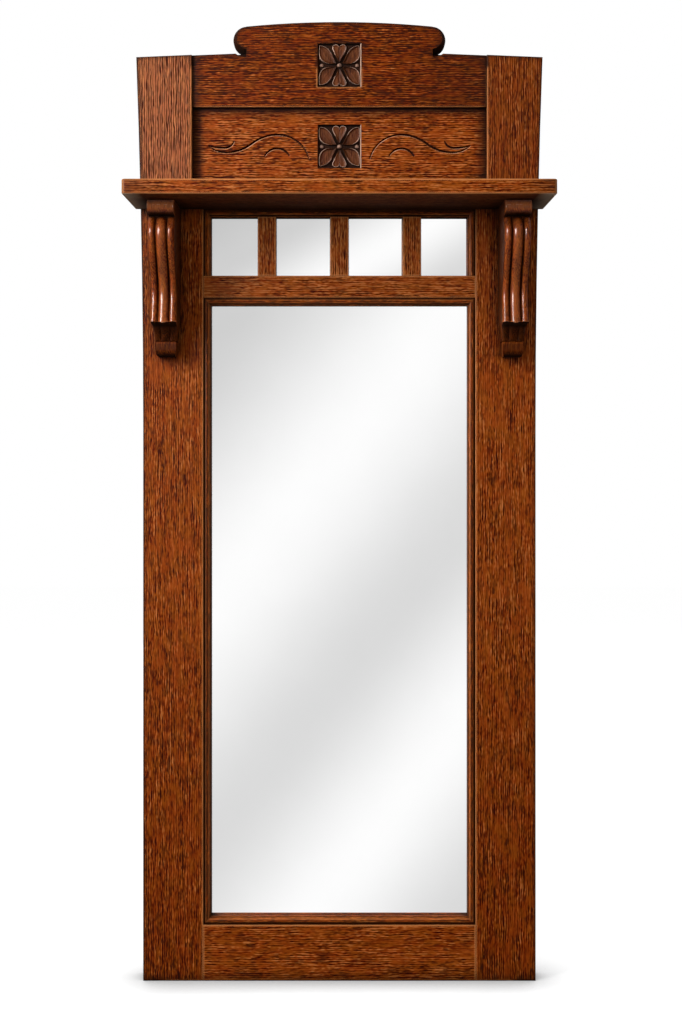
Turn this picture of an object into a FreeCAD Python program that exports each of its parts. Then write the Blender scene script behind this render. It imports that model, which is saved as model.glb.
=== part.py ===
"""Oak hall mirror with a shelf, four small lights and a carved crest.

Frame: X to the right, Y towards the wall, Z up. The wall plane is Y = 0, so the front faces -Y,
and the origin is the middle of the bottom edge of the frame, on the wall.
"""

import FreeCAD, Part
import math
import os

V = FreeCAD.Vector

# Frame: two stiles, and the rails and openings between them from the bottom edge up
FRAME_WIDTH = 450.0
STILE_WIDTH = 69.0
STILE_THICKNESS = 26.0
BOTTOM_RAIL_HEIGHT = 64.0
MIRROR_OPENING = 719.0
TRANSOM_HEIGHT = 25.5
LIGHT_OPENING = 76.0
SHELF_RAIL_HEIGHT = 29.0
PANEL_OPENING = 88.5
SHOULDER_HEIGHT = 57.0
POST_STEP = 13.3
FLARE_OUT = 8.0
FLARE_LENGTH = 428.0
TOP_SLOPE = 2.4
TRANSOM_RECESS = 1.5
ARRIS = 1.0

# Joints of the frame
TENON_THICKNESS = 8.0
RAIL_TENON = 40.0
TRANSOM_TENON = 25.0
CREST_TENON = 20.0
TENON_SHOULDER = 8.0
SLIM_SHOULDER = 4.0
JOINT_CLEARANCE = 0.2

# Mullions between the small lights
LIGHT_COUNT = 4
MULLION_WIDTH = 21.0
MULLION_REBATE = 4.0
MULLION_TENON = 8.0
MULLION_CHEEK = 2.0
TRANSOM_REBATE = 5.0

# Sight beads round the glass
BEAD_WIDTH = 8.5
BEAD_RECESS = 1.5
BEAD_DROP = 3.4
BEAD_EDGE = 1.2
QUIRK_WIDTH = 1.4
QUIRK_DEPTH = 2.6

# Glass, and what holds it from behind
GLASS_THICKNESS = 4.0
GLASS_CLEARANCE = 1.0
FILLET_THICKNESS = 5.0
FILLET_WIDTH = 8.0
BOARD_THICKNESS = 6.0
BOARD_REBATE = 9.0
BOARD_TOP_REBATE = 4.5
BOARD_CLEARANCE = 0.5
BOARD_SPLIT = 8.5

# Shelf and its corbels
SHELF_DEPTH = 104.0
SHELF_THICKNESS = 16.5
SHELF_OVERHANG = 9.0
SHELF_CORNER = 4.0
SHELF_ARRIS = 1.6
CORBEL_WIDTH = 29.0
CORBEL_HEIGHT = 170.0
CORBEL_INSET = 14.0
CORBEL_TOP_DEPTH = 72.0
CORBEL_TOP_HEIGHT = 15.6
CORBEL_NECK_DEPTH = 62.0
CORBEL_BULGE_DEPTH = 70.0
CORBEL_BULGE_DROP = 40.0
CORBEL_WAIST_DEPTH = 38.0
CORBEL_WAIST_DROP = 103.0
CORBEL_KNEE_DEPTH = 49.0
CORBEL_KNEE_DROP = 132.0
CORBEL_HOLLOW_DEPTH = 26.0
CORBEL_HOLLOW_DROP = 142.0
CORBEL_TOE_DEPTH = 21.0
CORBEL_TOE_HEIGHT = 17.0
CORBEL_TOE_WIDTH = 23.0
CORBEL_TOE_ROUND = 8.5
REED_RADIUS = 6.0
SIDE_REED_RADIUS = 3.6
REED_GAP = 0.8
REED_CREST = 3.0

# Crest: a panel in grooves, and a shaped rail above it
PANEL_RECESS = 9.5
PANEL_THICKNESS = 9.0
TONGUE_THICKNESS = 5.0
TONGUE_DEPTH = 6.0
PANEL_CLEARANCE = 0.3
CREST_RECESS = 3.5
CREST_THICKNESS = 15.5
CREST_HEIGHT = 98.0
ARCH_RADIUS = 1100.0
EAR_SETBACK = 47.2
EAR_RADIUS = 15.0
EAR_TURN = 100.0
EAR_BEVEL = 5.0
EAR_BEVEL_DEPTH = 6.0
EAR_BEVEL_SIDE = 127.0

# Flower rosettes let into the crest rail and the panel
ROSETTE_SIZE = 50.5
ROSETTE_DEPTH = 6.0
ROSETTE_CLEARANCE = 0.2
ROSETTE_GROUND = 2.4
PETAL_HEIGHT = 2.8
UPPER_ROSETTE_RISE = 48.6
LOWER_ROSETTE_RISE = 44.9
LEAF_ROOT = 3.5
LEAF_TIP = 31.5
LEAF_HALF_WIDTH = 8.0
HEART_ROOT = 2.5
HEART_SHOULDER = 17.5
HEART_HALF_WIDTH = 6.8
HEART_FLANK = 4.2
HEART_LOBE = 23.0
HEART_CLEFT = 20.0
BOSS_RADIUS = 3.0
SIDE_BOSS_RADIUS = 1.8
SIDE_BOSS_REACH = 20.2

# Scroll lines cut in the panel: first places out from and above the middle of the lower rosette,
# then places in from the post and above the same middle
SCROLL_RADIUS = 1.1
SCROLL_END = (35.2, -14.0)
SCROLL_APEX = (70.8, 13.2)
ARC_INNER = (57.8, -10.7)
ARC_APEX = (71.6, -2.6)
ARC_OUTER = (86.1, -11.5)
SCROLL_TROUGH = (38.7, -7.2)
SCROLL_TIP = (18.5, 0.4)
CURL_END = (47.9, 5.8)
CURL_LOW = (37.3, -2.0)

# Screws
SCREW_DIAMETER = 4.5
SCREW_HEAD = 8.4
SCREW_LENGTH = 55.0
SMALL_SCREW_DIAMETER = 3.0
SMALL_SCREW_HEAD = 6.0
BOARD_SCREW_LENGTH = 16.0
HANGER_SCREW_LENGTH = 12.0
PAN_HEAD_HEIGHT = 1.8
SLOT_WIDTH = 0.8
SLOT_DEPTH = 0.7
HOLE_CLEARANCE = 0.1
SHELF_SCREW_RISE = 8.6
CORBEL_SCREW_TOP = 32.0
CORBEL_SCREW_BOTTOM = 45.0
BOARD_SIDE_SCREWS = 4
BOARD_SCREW_END = 70.0

# Hangers on the back of the crest rail
HANGER_SETBACK = 44.3
HANGER_RISE = 34.0
STRAP_WIDTH = 13.0
STRAP_THICKNESS = 2.0
STRAP_LENGTH = 29.0
SHEET_THICKNESS = 1.0
RING_WIRE = 3.0
RING_INNER_WIDTH = 19.0
RING_LEG = 5.0
RING_CORNER = 3.0
RING_CLEARANCE = 0.3
STRAP_SCREW_NEAR = 8.2
STRAP_SCREW_FAR = 24.5

# How far a cutter runs past the surface that it opens, and what counts as the same place
CUT_PAST = 1.0
SAME = 1e-6

# Places that follow from the sizes above
front = -STILE_THICKNESS
half_width = FRAME_WIDTH / 2
sight = half_width - STILE_WIDTH
post_inner = sight + POST_STEP
z_mirror = BOTTOM_RAIL_HEIGHT
z_transom = z_mirror + MIRROR_OPENING
z_lights = z_transom + TRANSOM_HEIGHT
z_shelf = z_lights + LIGHT_OPENING
z_panel = z_shelf + SHELF_RAIL_HEIGHT
z_crest = z_panel + PANEL_OPENING
z_shoulder = z_crest + SHOULDER_HEIGHT
z_arch = z_crest + CREST_HEIGHT
slope = math.tan(math.radians(TOP_SLOPE))
board_front = -BOARD_THICKNESS
glass_back = board_front - FILLET_THICKNESS
glass_front = glass_back - GLASS_THICKNESS
transom_front = front + TRANSOM_RECESS
panel_front = front + PANEL_RECESS
crest_front = front + CREST_RECESS
crest_back = crest_front + CREST_THICKNESS
tenon_front = front / 2 - TENON_THICKNESS / 2
tenon_back = tenon_front + TENON_THICKNESS
light_pitch = (2 * sight + MULLION_WIDTH) / LIGHT_COUNT
mullion_places = [light_pitch * (i - LIGHT_COUNT / 2) for i in range(1, LIGHT_COUNT)]
bay_middles = [light_pitch * (i + 0.5 - LIGHT_COUNT / 2) for i in range(LIGHT_COUNT)]
corbel_x = half_width - CORBEL_INSET - CORBEL_WIDTH / 2
ear_x = post_inner - EAR_SETBACK - EAR_RADIUS
ear_z = z_arch - ARCH_RADIUS + math.sqrt((ARCH_RADIUS - EAR_RADIUS) ** 2 - ear_x ** 2)
z_upper_rosette = z_crest + UPPER_ROSETTE_RISE
z_lower_rosette = z_panel + LOWER_ROSETTE_RISE
z_board_split = z_transom + BOARD_SPLIT
eye_radius = RING_WIRE / 2 + RING_CLEARANCE + SHEET_THICKNESS
hanger_x = post_inner - HANGER_SETBACK
hanger_y = crest_back + eye_radius
hanger_z = z_crest + HANGER_RISE


def block(x, y, z):
    """Box between pairs of x, y and z."""
    low = V(min(x), min(y), min(z))
    return Part.makeBox(max(x) - low.x, max(y) - low.y, max(z) - low.z, low)


def line(a, b):
    return Part.LineSegment(a, b).toShape()


def arc(a, middle, b):
    return Part.Arc(a, middle, b).toShape()


def prism(edges, travel):
    """Solid from a closed run of edges, carried along a vector."""
    return Part.Face(Part.Wire(edges)).extrude(travel)


def polyline(points):
    return [line(a, b) for a, b in zip(points, points[1:] + points[:1])]


def mirrored(shape):
    """The same shape on the other side of the middle plane X = 0."""
    return shape.mirror(V(0, 0, 0), V(1, 0, 0))


def ease(shape, y, radius, wanted=lambda edge: True):
    """Round over the edges that lie in the plane at y and that are wanted."""
    edges = []
    for edge in shape.Edges:
        flat = all(abs(point.y - y) < SAME for point in edge.discretize(3))
        if flat and wanted(edge):
            edges.append(edge)
    return shape.makeFillet(radius, edges)


def level(edge):
    """True for an edge that runs along X."""
    return abs(edge.BoundBox.ZMax - edge.BoundBox.ZMin) < SAME


def upright(edge):
    """True for an edge that runs along Z."""
    return abs(edge.BoundBox.XMax - edge.BoundBox.XMin) < SAME


def level_arc(level_point, end, y, from_end=False):
    """Arc that is level at one point and passes through another, both given as (x, z)."""
    across = end[0] - level_point[0]
    up = end[1] - level_point[1]
    radius = (across ** 2 + up ** 2) / (2 * abs(up))
    half_turn = math.atan2(abs(up), abs(across))
    middle_x = level_point[0] + math.copysign(radius * math.sin(half_turn), across)
    middle_z = level_point[1] + math.copysign(radius * (1 - math.cos(half_turn)), up)
    points = [V(x, y, z) for x, z in (level_point, (middle_x, middle_z), end)]
    return arc(*reversed(points)) if from_end else arc(*points)


def screw(x, y, z, length, diameter, head, slotted=True, grown=0.0):
    """Countersunk screw driven towards -Y from a head that is flush at y."""
    radius = diameter / 2 + grown
    head_radius = head / 2 + grown
    cone = head_radius - radius
    tip = diameter
    away = V(0, -1, 0)
    solid = Part.makeCone(head_radius, radius, cone, V(x, y, z), away)
    shank_end = y - length + tip - grown
    solid = solid.fuse(Part.makeCylinder(radius, y - shank_end, V(x, y, z), away).cut(solid))
    solid = solid.fuse(Part.makeCone(radius, radius / 3, tip, V(x, shank_end, z), away))
    if slotted:
        half_slot = SLOT_WIDTH / 2
        depth = (y - SLOT_DEPTH, y + CUT_PAST)
        solid = solid.cut(block((x - head, x + head), depth, (z - half_slot, z + half_slot)))
    return solid.removeSplitter()


def drilled(shape, holes):
    """The shape with a list of screw holes cut in it."""
    for hole in holes:
        shape = shape.cut(hole)
    return shape


def tenon_zone(x, z, grown=0.0):
    """The space of a tenon between two x and two z, or of its mortise when grown."""
    return block(
        (min(x) - grown, max(x) + grown),
        (tenon_front - grown, tenon_back + grown),
        (min(z) - grown, max(z) + grown),
    )


def stile_outline():
    """Front view of the right stile: straight below, flared above, with the slimmer post at the top."""
    top = z_shoulder
    start = top - FLARE_LENGTH
    radius = (FLARE_LENGTH ** 2 + FLARE_OUT ** 2) / (2 * FLARE_OUT)
    middle_out = radius - math.sqrt(radius ** 2 - (FLARE_LENGTH / 2) ** 2)
    outer_top = half_width + FLARE_OUT
    inner_top = top + (outer_top - post_inner) * slope
    a = V(sight, front, 0)
    b = V(half_width, front, 0)
    c = V(half_width, front, start)
    c_middle = V(half_width + middle_out, front, start + FLARE_LENGTH / 2)
    d = V(outer_top, front, top)
    e = V(post_inner, front, inner_top)
    f = V(post_inner, front, z_panel)
    g = V(sight, front, z_panel)
    return [line(a, b), line(b, c), arc(c, c_middle, d), line(d, e), line(e, f), line(f, g), line(g, a)]


def bottom_tenon_z():
    return (TENON_SHOULDER, BOTTOM_RAIL_HEIGHT - BOARD_REBATE)


def transom_tenon_z():
    return (z_transom + SLIM_SHOULDER, z_lights - TRANSOM_REBATE - SLIM_SHOULDER)


def shelf_rail_tenon_z():
    return (z_shelf + SLIM_SHOULDER + BOARD_TOP_REBATE, z_panel - TONGUE_DEPTH - SLIM_SHOULDER)


def crest_tenon_z():
    return (z_crest + TONGUE_DEPTH + SLIM_SHOULDER, z_shoulder - TENON_SHOULDER)


def tongue_zone(grown=0.0):
    """The space of the crest panel and its tongue, or of the groove when grown."""
    reach = post_inner + TONGUE_DEPTH - PANEL_CLEARANCE + grown
    low = z_panel - TONGUE_DEPTH + PANEL_CLEARANCE - grown
    high = z_crest + TONGUE_DEPTH - PANEL_CLEARANCE + grown
    return block((-reach, reach), (panel_front, panel_front + TONGUE_THICKNESS), (low, high))


def corbel_screw_places():
    """Heights of the two screws that hold a corbel."""
    return [z_shelf - CORBEL_SCREW_TOP, z_shelf - CORBEL_HEIGHT + CORBEL_SCREW_BOTTOM]


def corbel_screw_set(**options):
    return [
        screw(side * corbel_x, 0, z, SCREW_LENGTH, SCREW_DIAMETER, SCREW_HEAD, **options)
        for side in (-1, 1)
        for z in corbel_screw_places()
    ]


def shelf_screw_set(**options):
    z = z_shelf + SHELF_SCREW_RISE
    return [
        screw(x, 0, z, SCREW_LENGTH, SCREW_DIAMETER, SCREW_HEAD, **options)
        for x in bay_middles
    ]


def board_screw_set(**options):
    """Screws round both backboards: up each stile, along the bottom rail and along the transom."""
    side_x = sight + BOARD_REBATE / 2
    low = z_mirror + BOARD_SCREW_END
    high = z_transom - BOARD_SCREW_END
    step = (high - low) / (BOARD_SIDE_SCREWS - 1)
    heights = [low + step * i for i in range(BOARD_SIDE_SCREWS)] + [(z_lights + z_shelf) / 2]
    places = [(side * side_x, z) for side in (-1, 1) for z in heights]
    for z in (z_mirror - BOARD_REBATE / 2, z_transom + BOARD_SPLIT / 2, z_board_split + BOARD_SPLIT / 2):
        places += [(x, z) for x in bay_middles]
    return [
        screw(x, 0, z, BOARD_SCREW_LENGTH, SMALL_SCREW_DIAMETER, SMALL_SCREW_HEAD, **options)
        for x, z in places
    ]


def board_rebate():
    """The shallow recess, all round the two openings, that the backboards lie in."""
    reach = sight + BOARD_REBATE
    heights = (z_mirror - BOARD_REBATE, z_shelf + BOARD_TOP_REBATE)
    return block((-reach, reach), (board_front, CUT_PAST), heights)


def right_stile():
    solid = prism(stile_outline(), V(0, STILE_THICKNESS, 0))
    solid = ease(solid, front, ARRIS)
    grown = JOINT_CLEARANCE
    solid = solid.cut(tenon_zone((sight, sight + RAIL_TENON), bottom_tenon_z(), grown))
    solid = solid.cut(tenon_zone((sight, sight + TRANSOM_TENON), transom_tenon_z(), grown))
    solid = solid.cut(tenon_zone((sight, sight + TRANSOM_TENON), shelf_rail_tenon_z(), grown))
    solid = solid.cut(tenon_zone((post_inner, post_inner + CREST_TENON), crest_tenon_z(), grown))
    solid = solid.cut(tongue_zone(PANEL_CLEARANCE))
    solid = solid.cut(board_rebate())
    return drilled(solid, corbel_screw_set(slotted=False, grown=HOLE_CLEARANCE) + board_holes())


def board_holes():
    return board_screw_set(slotted=False, grown=HOLE_CLEARANCE)


def bottom_rail():
    solid = block((-sight, sight), (front, 0), (0, BOTTOM_RAIL_HEIGHT))
    solid = ease(solid, front, ARRIS, level)
    reach = sight + RAIL_TENON
    solid = solid.fuse(tenon_zone((-reach, reach), bottom_tenon_z()))
    return drilled(solid.cut(board_rebate()), board_holes()).removeSplitter()


def transom_rail():
    solid = block((-sight, sight), (transom_front, board_front), (z_transom, z_lights))
    solid = ease(solid, transom_front, ARRIS, level)
    reach = sight + TRANSOM_TENON
    ledge = z_lights - TRANSOM_REBATE
    solid = solid.cut(block((-sight, sight), (glass_front, 0), (ledge, z_lights)))
    solid = solid.fuse(tenon_zone((-reach, reach), transom_tenon_z()))
    for x in mullion_places:
        solid = solid.cut(mullion_tenon(x, ledge - MULLION_TENON, ledge, JOINT_CLEARANCE))
    return drilled(solid, board_holes()).removeSplitter()


def shelf_rail():
    solid = block((-sight, sight), (front, 0), (z_shelf, z_panel))
    reach = sight + TRANSOM_TENON
    solid = solid.fuse(tenon_zone((-reach, reach), shelf_rail_tenon_z()))
    solid = solid.cut(tongue_zone(PANEL_CLEARANCE)).cut(board_rebate())
    for x in mullion_places:
        solid = solid.cut(mullion_tenon(x, z_shelf, z_shelf + MULLION_TENON, JOINT_CLEARANCE))
    return drilled(solid, shelf_screw_set(slotted=False, grown=HOLE_CLEARANCE)).removeSplitter()


def mullion_tenon(x, low, high, grown=0.0):
    """Stub tenon on the back of a mullion, between two heights."""
    half = MULLION_WIDTH / 2 - MULLION_REBATE - MULLION_CHEEK + grown
    depth = (glass_front + MULLION_CHEEK - grown, board_front - MULLION_CHEEK + grown)
    return block((x - half, x + half), depth, (low - grown, high + grown))


def mullion(x):
    """T-shaped bar: a full-width face in front of the glass and a narrow tongue between the panes."""
    half = MULLION_WIDTH / 2
    tongue = half - MULLION_REBATE
    ledge = z_lights - TRANSOM_REBATE
    face = block((x - half, x + half), (transom_front, glass_front), (z_lights, z_shelf - BEAD_WIDTH))
    face = ease(face, transom_front, ARRIS, upright)
    solid = face.fuse(block((x - tongue, x + tongue), (glass_front, board_front), (ledge, z_shelf)))
    solid = solid.fuse(mullion_tenon(x, ledge - MULLION_TENON, ledge))
    return solid.fuse(mullion_tenon(x, z_shelf, z_shelf + MULLION_TENON)).removeSplitter()


def bead(corner, along, inward, length, mitred):
    """Quirked sight bead from a corner of an opening; mitred says which of its ends are cut at 45 degrees."""
    def at(across, depth):
        return corner + inward * across + V(0, depth, 0)

    back = glass_front - front
    quirk = BEAD_RECESS + QUIRK_DEPTH
    crown = BEAD_WIDTH - BEAD_EDGE
    outline = [
        line(at(0, back), at(0, quirk)),
        line(at(0, quirk), at(QUIRK_WIDTH, quirk)),
        line(at(QUIRK_WIDTH, quirk), at(QUIRK_WIDTH, BEAD_RECESS + BEAD_EDGE)),
        arc(
            at(QUIRK_WIDTH, BEAD_RECESS + BEAD_EDGE),
            at((QUIRK_WIDTH + crown) / 2, BEAD_RECESS),
            at(crown, BEAD_RECESS + BEAD_DROP),
        ),
        line(at(crown, BEAD_RECESS + BEAD_DROP), at(BEAD_WIDTH, BEAD_RECESS + BEAD_DROP)),
        line(at(BEAD_WIDTH, BEAD_RECESS + BEAD_DROP), at(BEAD_WIDTH, back)),
        line(at(BEAD_WIDTH, back), at(0, back)),
    ]
    solid = prism(outline, along * length)
    reach = 2 * BEAD_WIDTH
    ends = ((corner, along), (corner + along * length, along * -1))
    for (end, into), cut in zip(ends, mitred):
        if cut:
            wedge = [end, end + inward * reach, end + inward * reach + into * reach]
            solid = solid.cut(prism(polyline(wedge), V(0, STILE_THICKNESS, 0)))
    return solid


def sight_beads():
    right, up = V(1, 0, 0), V(0, 0, 1)
    left, down = V(-1, 0, 0), V(0, 0, -1)
    both = (True, True)
    low_left = V(-sight, front, z_mirror)
    top_left = V(-sight, front, z_transom)
    low_right = V(sight, front, z_mirror)
    light_left = V(-sight, front, z_lights)
    light_right = V(sight, front, z_lights)
    light_top = V(-sight, front, z_shelf)
    return {
        "main_bead_left": bead(low_left, up, right, MIRROR_OPENING, both),
        "main_bead_right": bead(low_right, up, left, MIRROR_OPENING, both),
        "main_bead_bottom": bead(low_left, right, up, 2 * sight, both),
        "main_bead_top": bead(top_left, right, down, 2 * sight, both),
        "lights_bead_left": bead(light_left, up, right, LIGHT_OPENING, (False, True)),
        "lights_bead_right": bead(light_right, up, left, LIGHT_OPENING, (False, True)),
        "lights_bead_top": bead(light_top, right, down, 2 * sight, both),
    }


def main_mirror():
    reach = sight - GLASS_CLEARANCE
    return block(
        (-reach, reach),
        (glass_front, glass_back),
        (z_mirror + GLASS_CLEARANCE, z_transom - GLASS_CLEARANCE),
    )


def light_bays():
    """The x range of each small light between the mullions' tongues, less the glass's clearance."""
    tongue = MULLION_WIDTH / 2 - MULLION_REBATE
    lefts = [-sight] + [x + tongue for x in mullion_places]
    rights = [x - tongue for x in mullion_places] + [sight]
    return list(zip(lefts, rights))


def light_mirror(bay):
    left, right = bay
    ledge = z_lights - TRANSOM_REBATE
    return block(
        (left + GLASS_CLEARANCE / 2, right - GLASS_CLEARANCE / 2),
        (glass_front, glass_back),
        (ledge + GLASS_CLEARANCE / 2, z_shelf - GLASS_CLEARANCE / 2),
    )


def main_fillets():
    """Four strips that press the large glass against its beads."""
    depth = (glass_back, board_front)
    inner = sight - FILLET_WIDTH
    heights = (z_mirror + FILLET_WIDTH, z_transom - FILLET_WIDTH)
    return {
        "main_fillet_left": block((-sight, -inner), depth, heights),
        "main_fillet_right": block((inner, sight), depth, heights),
        "main_fillet_bottom": block((-sight, sight), depth, (z_mirror, heights[0])),
        "main_fillet_top": block((-sight, sight), depth, (heights[1], z_transom)),
    }


def light_fillets():
    """A strip along the foot and the head of each small light, behind its glass."""
    depth = (glass_back, board_front)
    ledge = z_lights - TRANSOM_REBATE
    strips = []
    for bay in light_bays():
        strips.append(block(bay, depth, (ledge, ledge + FILLET_WIDTH)))
        strips.append(block(bay, depth, (z_shelf - FILLET_WIDTH, z_shelf)))
    return Part.makeCompound(strips)


def backboard(low, high):
    reach = sight + BOARD_REBATE - BOARD_CLEARANCE
    heights = (low + BOARD_CLEARANCE, high - BOARD_CLEARANCE)
    return drilled(block((-reach, reach), (board_front, 0), heights), board_holes())


def shelf():
    reach = half_width + SHELF_OVERHANG
    shelf_front = front - SHELF_DEPTH
    solid = block((-reach, reach), (shelf_front, front), (z_shelf, z_shelf + SHELF_THICKNESS))
    corners = [
        edge for edge in solid.Edges
        if edge.BoundBox.YMax < shelf_front + SAME and edge.BoundBox.ZLength > SHELF_THICKNESS - SAME
    ]
    solid = solid.makeFillet(SHELF_CORNER, corners)
    rim = [
        edge for edge in solid.Edges
        if edge.BoundBox.ZLength < SAME and edge.BoundBox.YMin < front - SAME
    ]
    solid = solid.makeFillet(SHELF_ARRIS, rim)
    return drilled(solid, shelf_screw_set(slotted=False, grown=HOLE_CLEARANCE))


def corbel_point(x, depth, drop):
    """A point on the right corbel from its distance in front of the stile and below the shelf."""
    return V(x, front - depth, z_shelf - drop)


def corbel_curve(x, inset, start_drop):
    """The S curve down the corbel's front, set back by an inset."""
    places = [
        (CORBEL_NECK_DEPTH, start_drop),
        (CORBEL_BULGE_DEPTH, CORBEL_BULGE_DROP),
        (CORBEL_WAIST_DEPTH, CORBEL_WAIST_DROP),
        (CORBEL_KNEE_DEPTH, CORBEL_KNEE_DROP),
    ]
    curve = Part.BSplineCurve()
    curve.interpolate([corbel_point(x, depth - inset, drop) for depth, drop in places])
    return curve.toShape()


def reed(x, radius, set_back):
    """One rounded reed down the S curve, with its crest set back from the curve."""
    path = corbel_curve(x, radius + set_back, CORBEL_TOP_HEIGHT - radius)
    start = path.FirstParameter
    ring = Part.makeCircle(radius, path.valueAt(start), path.tangentAt(start))
    return Part.Wire([path]).makePipeShell([Part.Wire([ring])], True, False)


def corbel_core():
    """The corbel's body behind the reeds, from its S curve back to the stile."""
    x = corbel_x - CORBEL_WIDTH / 2
    toe_drop = CORBEL_HEIGHT - CORBEL_TOE_HEIGHT
    top_back = corbel_point(x, 0, CORBEL_TOP_HEIGHT)
    top_front = corbel_point(x, CORBEL_NECK_DEPTH - REED_CREST, CORBEL_TOP_HEIGHT)
    knee = corbel_point(x, CORBEL_KNEE_DEPTH - REED_CREST, CORBEL_KNEE_DROP)
    hollow = corbel_point(x, CORBEL_HOLLOW_DEPTH, CORBEL_HOLLOW_DROP)
    toe = corbel_point(x, CORBEL_TOE_DEPTH - REED_CREST, toe_drop)
    toe_back = corbel_point(x, 0, toe_drop)
    edges = [
        line(top_back, top_front),
        corbel_curve(x, REED_CREST, CORBEL_TOP_HEIGHT),
        arc(knee, hollow, toe),
        line(toe, toe_back),
        line(toe_back, top_back),
    ]
    return prism(edges, V(CORBEL_WIDTH, 0, 0))


def right_corbel():
    """Carved bracket: square top block, three reeds down an S curve, and a small toe."""
    half = CORBEL_WIDTH / 2
    sides = (corbel_x - half, corbel_x + half)
    top = block(sides, (front - CORBEL_TOP_DEPTH, front), (z_shelf - CORBEL_TOP_HEIGHT, z_shelf))
    toe_half = CORBEL_TOE_WIDTH / 2
    toe = block(
        (corbel_x - toe_half, corbel_x + toe_half),
        (front - CORBEL_TOE_DEPTH, front),
        (z_shelf - CORBEL_HEIGHT, z_shelf - CORBEL_HEIGHT + CORBEL_TOE_HEIGHT),
    )
    foot = z_shelf - CORBEL_HEIGHT
    toe = ease(toe, front - CORBEL_TOE_DEPTH, CORBEL_TOE_ROUND, lambda edge: edge.BoundBox.ZMax < foot + SAME)
    side_reed = REED_RADIUS + REED_GAP + SIDE_REED_RADIUS
    solid = corbel_core().fuse([
        top,
        toe,
        reed(corbel_x, REED_RADIUS, 0.0),
        reed(corbel_x - side_reed, SIDE_REED_RADIUS, REED_CREST / 2),
        reed(corbel_x + side_reed, SIDE_REED_RADIUS, REED_CREST / 2),
    ])
    return drilled(solid.removeSplitter(), corbel_screw_set(slotted=False, grown=HOLE_CLEARANCE))


def shoulder_z(x):
    """Height of the sloping shoulder line at a distance x from the middle."""
    return z_shoulder + (half_width + FLARE_OUT - x) * slope


def crest_board():
    """Lower part of the crest rail, with shoulders that run on from the slope of the posts' tops."""
    side = shoulder_z(post_inner)
    corners = [
        (-post_inner, z_crest), (post_inner, z_crest), (post_inner, side),
        (0, shoulder_z(0)), (-post_inner, side),
    ]
    return prism(polyline([V(x, crest_front, z) for x, z in corners]), V(0, CREST_THICKNESS, 0))


def crest_arch():
    """Middle of the crest rail, from its bottom edge up to the flat arch that runs into the ears."""
    turn = math.radians(EAR_TURN)
    root_x = ear_x + EAR_RADIUS * math.cos(turn)
    root_z = ear_z - EAR_RADIUS * math.sin(turn)
    share = ARCH_RADIUS / (ARCH_RADIUS - EAR_RADIUS)
    arch_centre = z_arch - ARCH_RADIUS
    touch = (ear_x * share, arch_centre + (ear_z - arch_centre) * share)
    side = [(root_x, z_crest), (root_x, root_z), (ear_x, ear_z), touch]
    right = [V(x, crest_front, z) for x, z in side]
    left = [V(-x, crest_front, z) for x, z in reversed(side)]
    edges = [line(a, b) for a, b in zip(right, right[1:])]
    edges.append(arc(right[-1], V(0, crest_front, z_arch), left[0]))
    edges += [line(a, b) for a, b in zip(left, left[1:])]
    edges.append(line(left[-1], right[0]))
    return prism(edges, V(0, CREST_THICKNESS, 0))


def ear():
    """Round end of the arch on the right; it touches the arch from inside."""
    return Part.makeCylinder(EAR_RADIUS, CREST_THICKNESS, V(ear_x, crest_front, ear_z), V(0, 1, 0))


def ear_bevel():
    """Cutter for the crescent bevel round the outer and lower front edge of the right ear."""
    inner_radius = EAR_RADIUS - EAR_BEVEL / 2
    shift = EAR_BEVEL / 2
    toward = math.radians(EAR_BEVEL_SIDE)
    centre = V(ear_x + shift * math.cos(toward), crest_front, ear_z + shift * math.sin(toward))
    back = V(0, 1, 0)
    cone = Part.makeCone(inner_radius, inner_radius + EAR_BEVEL, EAR_BEVEL_DEPTH, centre, back)
    outer = EAR_RADIUS + EAR_BEVEL
    ring = Part.makeCylinder(outer, EAR_BEVEL_DEPTH, V(ear_x, crest_front, ear_z), back)
    beside = block((ear_x, ear_x + outer), (crest_front, crest_back), (ear_z - outer, ear_z + outer))
    return ring.common(beside).cut(cone)


def rosette_pocket(y, z):
    half = ROSETTE_SIZE / 2
    return block((-half, half), (y, y + ROSETTE_DEPTH), (z - half, z + half))


def crest_rail():
    solid = crest_board().fuse([crest_arch(), ear(), mirrored(ear())]).removeSplitter()
    solid = ease(solid, crest_front, ARRIS, level)
    bevel = ear_bevel()
    solid = solid.cut(bevel).cut(mirrored(bevel))
    reach = post_inner + CREST_TENON
    solid = solid.fuse(tenon_zone((-reach, reach), crest_tenon_z()))
    solid = solid.cut(tongue_zone(PANEL_CLEARANCE))
    solid = solid.cut(rosette_pocket(crest_front, z_upper_rosette))
    return drilled(solid, hanger_screw_holes()).removeSplitter()


def scroll_line(points, level_points):
    """Groove cutter along arcs through points, given as (x, z), that run level at the level points."""
    edges = []
    for a, b in zip(points, points[1:]):
        if a in level_points:
            edges.append(level_arc(a, b, panel_front))
        else:
            edges.append(level_arc(b, a, panel_front, from_end=True))
    start = edges[0]
    ring = Part.makeCircle(
        SCROLL_RADIUS, start.valueAt(start.FirstParameter), start.tangentAt(start.FirstParameter)
    )
    return Part.Wire(edges).makePipeShell([Part.Wire([ring])], True, False)


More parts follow.
